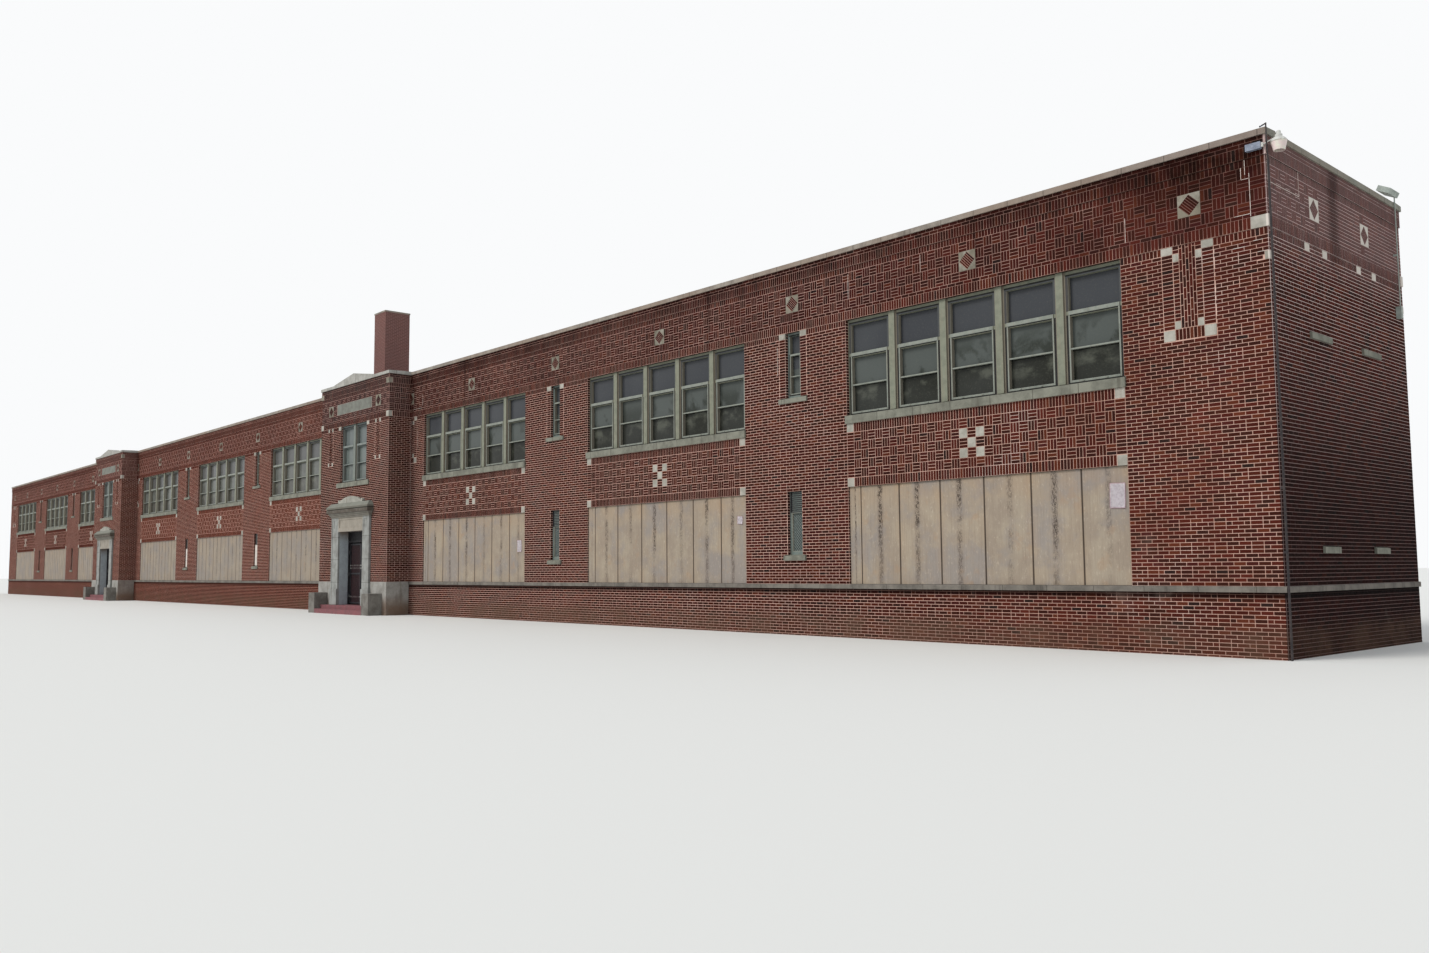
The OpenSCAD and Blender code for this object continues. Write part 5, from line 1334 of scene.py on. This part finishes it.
def sashUnit():
    # One light: a hung lower sash with its glazing bar under the meeting rail, painted black shadow in the gaps round
    # it, under the bar, below the head and along the lintel, and painted shade beside the top pane
    w, m, gap, side = sash["light"] / 2, sash["member"], sash["gap"], sash["side"]
    c, d = sash["upperZ"]
    y0, y1, skin = sash["set"] - sash["proud"], sash["set"] + sash["depth"] - 0.0005, sash["set"] - 0.0004
    behind, wide = sash["set"] + 0.0001, w + side
    low, railTop = sash["sillZ"] + gap, c + 0.0002
    railLow, barLow, barTop = railTop - sash["rail"], sash["barZ"] - sash["bar"] / 2, sash["barZ"] + sash["bar"] / 2
    boxes = [((-w, y0, low), (-w + m, y1, railLow)), ((w - m, y0, low), (w, y1, railLow)),
             ((-w + m, y0, low), (w - m, y1, low + sash["foot"])), ((-w, y0 - 0.0006, railLow), (w, y1, railTop)),
             ((-w + m, y0 + 0.001, barLow), (w - m, y1, barTop)), ((-w, y0 + 0.002, railTop), (-w + 0.0012, y1, d))]
    boxes += [((s * w * 0.45 - 0.002, y0 - 0.0012, low + 0.001), (s * w * 0.45 + 0.002, y0, low + 0.0034))
              for s in (-1, 1)]
    paintedShadow = [((-w + m, skin, railLow - gap), (w - m, behind, railLow)), ((-wide, skin, low - gap), (wide, behind, low)),
             ((-wide, skin, low), (-w, behind, railLow)), ((w, skin, low), (wide, behind, railLow)),
             ((-w + m, y1 - 0.004, barLow - 0.0014), (w - m, y1, barLow)),
             ((-wide, skin, d + 0.0026), (wide, behind, d + 0.0064)),
             ((-wide - 0.0038, -0.0003, sash["headZ"]), (wide + 0.0038, 0.0004, sash["headZ"] + 0.0008))]
    pane = [((-wide, skin, d), (wide, behind, d + 0.0026)), ((w, skin, railTop), (wide, behind, d))]
    paintedShade = [((-wide, skin, railTop), (-w, behind, d))]
    return boxMesh("sash", boxes, mats["sash"], 0.0004, {1.0: paintedShadow, 0.5: pane, 0.75: paintedShade})


print("windows")


def inGroups(steps):
    # Spots and turns in every group of windows, counted in lights from its middle
    rows = [((x + i * (sash["light"] + sash["mullion"]), y, 0.0), (0, 0, turn))
            for y, turn in frontAndRear for x in groupXs for i in steps]
    return [list(column) for column in zip(*rows)]


lightSpots, lightTurns = inGroups((-2, -1, 0, 1, 2))
pairLight = (plan["pair"] * grid - 2 * sash["stile"] - sash["mullion"]) / 2
pairSpots = [(x + s * (pairLight + sash["mullion"]) / 2, yFront - site["pavilionOut"], 0.0)
             for x in pavilionXs for s in (-1, 1)]
spreadPiece("window_sashes", sashUnit(), lightSpots + pairSpots, mats["sash"], "painted_wood",
            lightTurns + [(0, 0, 0)] * len(pairSpots),
            [(1, 1, 1)] * len(lightSpots) + [(pairLight / sash["light"], 1, 1)] * len(pairSpots))


def mullionBoard():
    # Board standing out on a mullion, with painted warm light on a step on each side and a painted shadow line under
    # the lintel
    w, y = sash["board"], sash["set"]
    low, high = sash["sillZ"], sash["headZ"]
    boxes = [((-w, y - sash["boardOut"], low), (w, y + 0.0001, high))]
    steps = [(s * (sash["mullion"] / 2 - sash["side"]), s * w) for s in (-1, 1)]
    steps = [((min(pair), y - 0.0007, low), (max(pair), y + 0.0001, high - 0.001)) for pair in steps]
    head = [((-w - 0.0003, -0.0003, high), (w + 0.0003, 0.0004, high + 0.0008))]
    return boxMesh("board", boxes, mats["frame"], 0.0004, {0.25: steps, 1.0: head})


boardSpots, boardTurns = inGroups((-1.5, -0.5, 0.5, 1.5))
boardSpots += [(x, yFront - site["pavilionOut"], 0.0) for x in pavilionXs]
boardTurns += [(0, 0, 0)] * len(pavilionXs)
spreadPiece("mullion_boards", mullionBoard(), boardSpots, mats["frame"], "painted_wood", boardTurns, seed=5)

# Slim sashes, bars and screens in the narrow windows
narrow = {"half": 0.02743, "stile": 0.008, "upperZ": (0.62936, 0.80462), "lowerZ": (0.21026, 0.3779),
          "vent": 0.056, "pitch": 0.0080, "wire": 0.0005, "member": 0.0030, "louvres": 9}
clearHalf = narrow["half"] - narrow["stile"]
clearLow, ventFoot = narrow["lowerZ"][0] + narrow["stile"], narrow["lowerZ"][1] - narrow["vent"]


def narrowSash():
    # A fixed top pane, a pale lower sash with one glazing bar, and painted black shadow in the gaps round it, under its
    # rail and below the head
    w, m = clearHalf, narrow["member"]
    a, b = narrow["upperZ"][0] + narrow["stile"], narrow["upperZ"][1] - narrow["stile"]
    y0, y1, skin = sash["set"] - 0.0008, sash["set"] + sash["depth"] - 0.0005, sash["set"] - 0.0004
    behind, rail, bar = sash["set"] + 0.0001, a + (b - a) * 0.66, a + (b - a) * 0.31
    boxes = [((-w, y0, a), (-w + m, y1, rail)), ((w - m, y0, a), (w, y1, rail)),
             ((-w + m, y0, a), (w - m, y1, a + m)), ((-w, y0, rail), (w, y1, rail + 0.005)),
             ((-w + m, y0 + 0.001, bar - 0.0014), (w - m, y1, bar + 0.0014))]
    paintedShadow = [((-w - 0.003, skin, a - 0.003), (-w, behind, rail + 0.005)),
             ((w, skin, a - 0.003), (w + 0.003, behind, rail + 0.005)), ((-w, skin, a - 0.003), (w, behind, a)),
             ((-w + m, y1 - 0.003, rail - 0.0016), (w - m, y1, rail)),
             ((-w - 0.003, skin, b), (w + 0.003, behind, b + 0.003))]
    return boxMesh("narrowSash", boxes, mats["sash"], 0.0003, {1.0: paintedShadow})


def ventPanel():
    # Louvres of the vent panel in its own frame
    w, face, foot, top, count = clearHalf, sash["set"], ventFoot, narrow["lowerZ"][1], narrow["louvres"]
    boxes = []
    for i in range(count):
        z = foot + 0.004 + (top - foot - 0.008) * (i + 0.5) / count
        boxes.append(((-w, face - 0.0012, z - 0.0011), (w, face, z + 0.0017)))
    proud, rim = 0.0028, w + 0.003
    boxes += [((-rim, face - proud, foot), (-w, face, top)), ((w, face - proud, foot), (rim, face, top)),
              ((-w, face - proud, foot), (w, face, foot + proud)), ((-w, face - proud, top - proud), (w, face, top))]
    return boxMesh("vent", boxes, mats["steel"])


def screenWires():
    # Crossed wires at 45 degrees under the vent, cut to the opening
    w, low, foot, y = clearHalf, clearLow, ventFoot, sash["set"] + 0.0028
    made, r = bmesh.new(), narrow["wire"]
    for slope in (-1, 1):
        for k in range(-9, 20):
            c = low + k * narrow["pitch"]
            (z0, x0), (z1, x1) = sorted(((c - slope * w, -w), (c + slope * w, w)))
            if z1 <= low or z0 >= foot:
                continue
            if z0 < low:
                x0, z0 = x0 + (x1 - x0) * (low - z0) / (z1 - z0), low
            if z1 > foot:
                x1, z1 = x0 + (x1 - x0) * (foot - z0) / (z1 - z0), foot
            a, b = Vector((x0, y, z0)), Vector((x1, y, z1))
            if (b - a).length < 0.001:
                continue
            side = (b - a).normalized().cross(Vector((0, 1, 0))) * r
            inwards = Vector((0, r, 0))
            ring = [a + side, a + inwards, a - side, a - inwards, b + side, b + inwards, b - side, b - inwards]
            verts = [made.verts.new(p) for p in ring]
            for i in range(4):
                j = (i + 1) % 4
                made.faces.new((verts[i], verts[j], verts[4 + j], verts[4 + i]))
            made.faces.new(verts[3::-1])
            made.faces.new(verts[4:])
    bmesh.ops.recalc_face_normals(made, faces=made.faces)
    return meshFrom(made, "screen", mats["screen"])


def screenBack():
    # Clouded pane behind the wires, in a thin pale rim
    w, low, foot, y, m = clearHalf, clearLow, ventFoot, sash["set"], 0.0022
    pane = [((-w + m, y + 0.0040, low + m), (w - m, y + 0.0060, foot - m))]
    boxes = [((-w, y + 0.0005, low), (-w + m, y + 0.0060, foot)), ((w - m, y + 0.0005, low), (w, y + 0.0060, foot)),
             ((-w + m, y + 0.0005, low), (w - m, y + 0.0060, low + m)),
             ((-w, y - 0.0020, foot - m), (w, y + 0.0060, foot + 0.0012))]
    return boxMesh("screenBack", boxes, mats["sash"], 0.0003, {0.4: pane})


def paleBoard():
    # Painted board over the lower part of a narrow window, in three nailed pieces
    w, low = clearHalf + 0.003, narrow["lowerZ"][0] + 0.003
    foot, face = ventFoot - 0.002, sash["set"]
    cuts = [low, low + (foot - low) * 0.36, low + (foot - low) * 0.7, foot]
    boxes = [((-w, face - 0.003, a + 0.0005), (w, face + 0.002, b - 0.0005)) for a, b in zip(cuts, cuts[1:])]
    boxes += [((s * w * 0.8 - 0.0008, face - 0.0036, z - 0.0008), (s * w * 0.8 + 0.0008, face - 0.003, z + 0.0008))
              for s in (-1, 1) for z in (low + 0.006, (low + foot) / 2, foot - 0.006)]
    return boxMesh("paleBoard", boxes, mats["paleBoard"], 0.0002)


narrowSpots = [(x, y, 0.0) for y, _ in frontAndRear for x in pierXs]
narrowTurns = [(0, 0, turn) for _, turn in frontAndRear for _ in pierXs]
everyWindow, boarded, screened = slice(None), slice(2), slice(2, None)      # boarded: the middle block's front
for name, drawn, mat, slot, which in (
        ("narrow_sashes", narrowSash(), "sash", "painted_wood", everyWindow),
        ("vent_panels", ventPanel(), "steel", "dark_steel", everyWindow),
        ("screen_backs", screenBack(), "sash", "painted_wood", screened),
        ("window_screens", screenWires(), "screen", "pale_metal", screened),
        ("pale_boards", paleBoard(), "paleBoard", "board", boarded)):
    spreadPiece(name, drawn, narrowSpots[which], mats[mat], slot, narrowTurns[which])

print("boards")
sheet = {"width": 4 * 12 * 0.00254, "strip": 0.0375, "gap": 0.0014, "edge": 0.0012, "thick": 0.0011, "set": 0.006,
         "columns": 6, "rows": 10, "seat": 0.00002}


def sheetPoints():
    spots, sizes, turns = [], [], []
    low, high = zGround + level["lower"] * grid, zGround + level["spandrel"] * grid
    for y, turn in frontAndRear:
        run = -1 if turn else 1
        for x in groupXs:
            # the narrow strip stands first, at the left as one looks at the wall
            widths = [sheet["strip"]] + [sheet["width"]] * 5
            widths.append(plan["group"] * grid - sum(widths))
            start = x - run * plan["group"] * grid / 2
            for wide in widths:
                spots.append((start + run * wide / 2, y, (low + high) / 2))
                sizes.append((wide - sheet["gap"], 1.0, high - low - sheet["edge"]))
                turns.append((0, 0, turn))
                start += run * wide
    return spots, sizes, turns


def unitSheet():
    # One sheet of unit width and height, its face standing just before the backing board
    made, columns, rows = bmesh.new(), sheet["columns"], sheet["rows"]
    face = [[made.verts.new((-0.5 + i / columns, sheet["set"] - sheet["thick"], -0.5 + j / rows))
             for i in range(columns + 1)] for j in range(rows + 1)]
    gridFaces(made, face)
    rim = face[0] + [row[-1] for row in face[1:]] + face[-1][-2::-1] + [row[0] for row in face[-2:0:-1]]
    backs = [made.verts.new((v.co.x, sheet["set"] - sheet["seat"], v.co.z)) for v in rim]
    for k, vert in enumerate(rim):
        after = (k + 1) % len(rim)
        made.faces.new((vert, backs[k], backs[after], rim[after]))
    bmesh.ops.recalc_face_normals(made, faces=made.faces)
    return meshFrom(made, "sheet", mats["board"], across=lambda place: place.x)


spots, sizes, turns = sheetPoints()
spreadPiece("plywood_sheets", unitSheet(), spots, mats["board"], "board", turns, sizes)

# Bare plates on three of the boards, with a faded border and no words
plate = {"size": (0.0345, 0.0007, 0.052), "border": 0.0024, "columns": 6, "rows": 8, "clear": 0.0016,
         "bend": 0.0005, "curl": 0.0006,
         "places": [(14.15, 12.35), (113.7, 9.9), (63.7, 12.0)],        # grid steps from the right corner and up
         "sizes": [(1, 1, 1), (0.8, 1, 0.8), (0.6, 1, 0.42)], "turns": [(0, 0.03, 0), (0, -0.02, 0), (0, 0.05, 0)]}


def plateFinish():
    f = Finish("bare_plate")
    patch = f.noise(200.0, 4.0, 0.6)
    colour = f.mix(f.between(patch, 0.35, 0.7), (238, 232, 236), (218, 208, 214))
    border = f.times(f.attribute("border"), f.between(patch, 0.25, 0.5, 0.2, 0.6))
    return f.done(f.mix(border, colour, (190, 120, 138)), 0.5, patch, 0.0001, 0.4)


def bentPlate(mat):
    made, border = bmesh.new(), plate["border"]
    w, t, h = plate["size"]

    def edges(size, count):
        inner = size - 2 * border
        return [-size / 2] + [-size / 2 + border + inner * i / count for i in range(count + 1)] + [size / 2]

    def lift(x, z):
        return (plate["bend"] * math.sin(x / w * 5.0) * math.cos(z / h * 4.0)
                - plate["curl"] * (abs(x) / w + abs(z) / h) ** 2)

    def onBorder(place):
        away = min(abs(abs(place.x) - w / 2), abs(abs(place.z) - h / 2))
        return 1.0 if away < border * 0.6 else 0.0
    gridFaces(made, [[made.verts.new((x, lift(x, z), z)) for x in edges(w, plate["columns"])]
                     for z in edges(h, plate["rows"])])
    bmesh.ops.solidify(made, geom=made.faces, thickness=t)
    return meshFrom(made, "plate", mat, border=onBorder)


plateMat = plateFinish()
plateY = yFront + sheet["set"] - sheet["thick"] - plate["clear"]
spreadPiece("bare_plates", bentPlate(plateMat), [(xRight - u * grid, plateY, zGround + z * grid)
                                                 for u, z in plate["places"]],
            plateMat, "pale_metal", plate["turns"], plate["sizes"])

print("stage, camera and lamps")
stage = {"floor": (226, 226, 222), "size": 60.0, "thick": 0.02, "backdrop": (250, 251, 252), "light": (236, 240, 246),
         "strength": 0.76, "sun": 1.8, "sunSoft": 24, "sunTone": (1.0, 0.975, 0.94), "sunWay": (0.42, 1.0, -0.95)}
floorMat = bpy.data.materials.new("pale_floor")
floorMat.use_nodes = True
floorShade = floorMat.node_tree.nodes["Principled BSDF"].inputs
floorShade["Base Color"].default_value = rgb(stage["floor"])
floorShade["Roughness"].default_value = 0.9
half = stage["size"]
floorBox = ((-half, -half, -stage["thick"]), (half, half, 0.0))
floor = bpy.data.objects.new("floor", boxMesh("floor", [floorBox], floorMat))
scene.collection.objects.link(floor)

# The backdrop shows to the camera and in gloss and glass, the softer light falls on the building
world = bpy.data.worlds.new("sky")
scene.world = world
world.use_nodes = True
sky, made = world.node_tree, world.node_tree.nodes
light, rays, backdrop = made["Background"], made.new("ShaderNodeLightPath"), made.new("ShaderNodeBackground")
pick, seen, more = made.new("ShaderNodeMixShader"), made.new("ShaderNodeMath"), made.new("ShaderNodeMath")
for shader, tone, strength in ((light, "light", stage["strength"]), (backdrop, "backdrop", 1.0)):
    shader.inputs["Color"].default_value = rgb(stage[tone])
    shader.inputs["Strength"].default_value = strength
seen.operation = more.operation = "ADD"
seen.use_clamp = True
ray = rays.outputs
for source, socket in ((ray["Is Camera Ray"], seen.inputs[0]), (ray["Is Glossy Ray"], more.inputs[0]),
                       (ray["Is Transmission Ray"], more.inputs[1]), (more.outputs[0], seen.inputs[1]),
                       (seen.outputs[0], pick.inputs[0]), (light.outputs[0], pick.inputs[1]),
                       (backdrop.outputs[0], pick.inputs[2]),
                       (pick.outputs[0], made["World Output"].inputs["Surface"])):
    sky.links.new(source, socket)

lamp = bpy.data.lights.new("key", "SUN")
lamp.energy, lamp.angle, lamp.color = stage["sun"], math.radians(stage["sunSoft"]), stage["sunTone"]
key = bpy.data.objects.new("key", lamp)
key.rotation_euler = Vector(stage["sunWay"]).to_track_quat("-Z", "Y").to_euler()
scene.collection.objects.link(key)

view = {"place": (xMid + 6.57613, -2.44079, 0.17200), "yaw": 48.2863, "pitch": 4.6933, "roll": -0.4376,
        "lens": 28.6508, "sensor": 36.0, "clip": (0.05, 200.0)}
camera = bpy.data.objects.new("camera", bpy.data.cameras.new("camera"))
camera.data.lens, camera.data.sensor_width = view["lens"], view["sensor"]
camera.data.clip_start, camera.data.clip_end = view["clip"]
yaw, pitch, roll = (math.radians(view[k]) for k in ("yaw", "pitch", "roll"))
forward = Vector((-math.sin(yaw) * math.cos(pitch), math.cos(yaw) * math.cos(pitch), math.sin(pitch)))
right = Vector((math.cos(yaw), math.sin(yaw), 0.0))
up = right.cross(forward)
right, up = right * math.cos(roll) + up * math.sin(roll), up * math.cos(roll) - right * math.sin(roll)
camera.matrix_world = Matrix.Translation(view["place"]) @ Matrix((right, up, -forward)).transposed().to_4x4()
scene.collection.objects.link(camera)
scene.camera = camera
scene.view_settings.view_transform = "Standard"

print("finished")
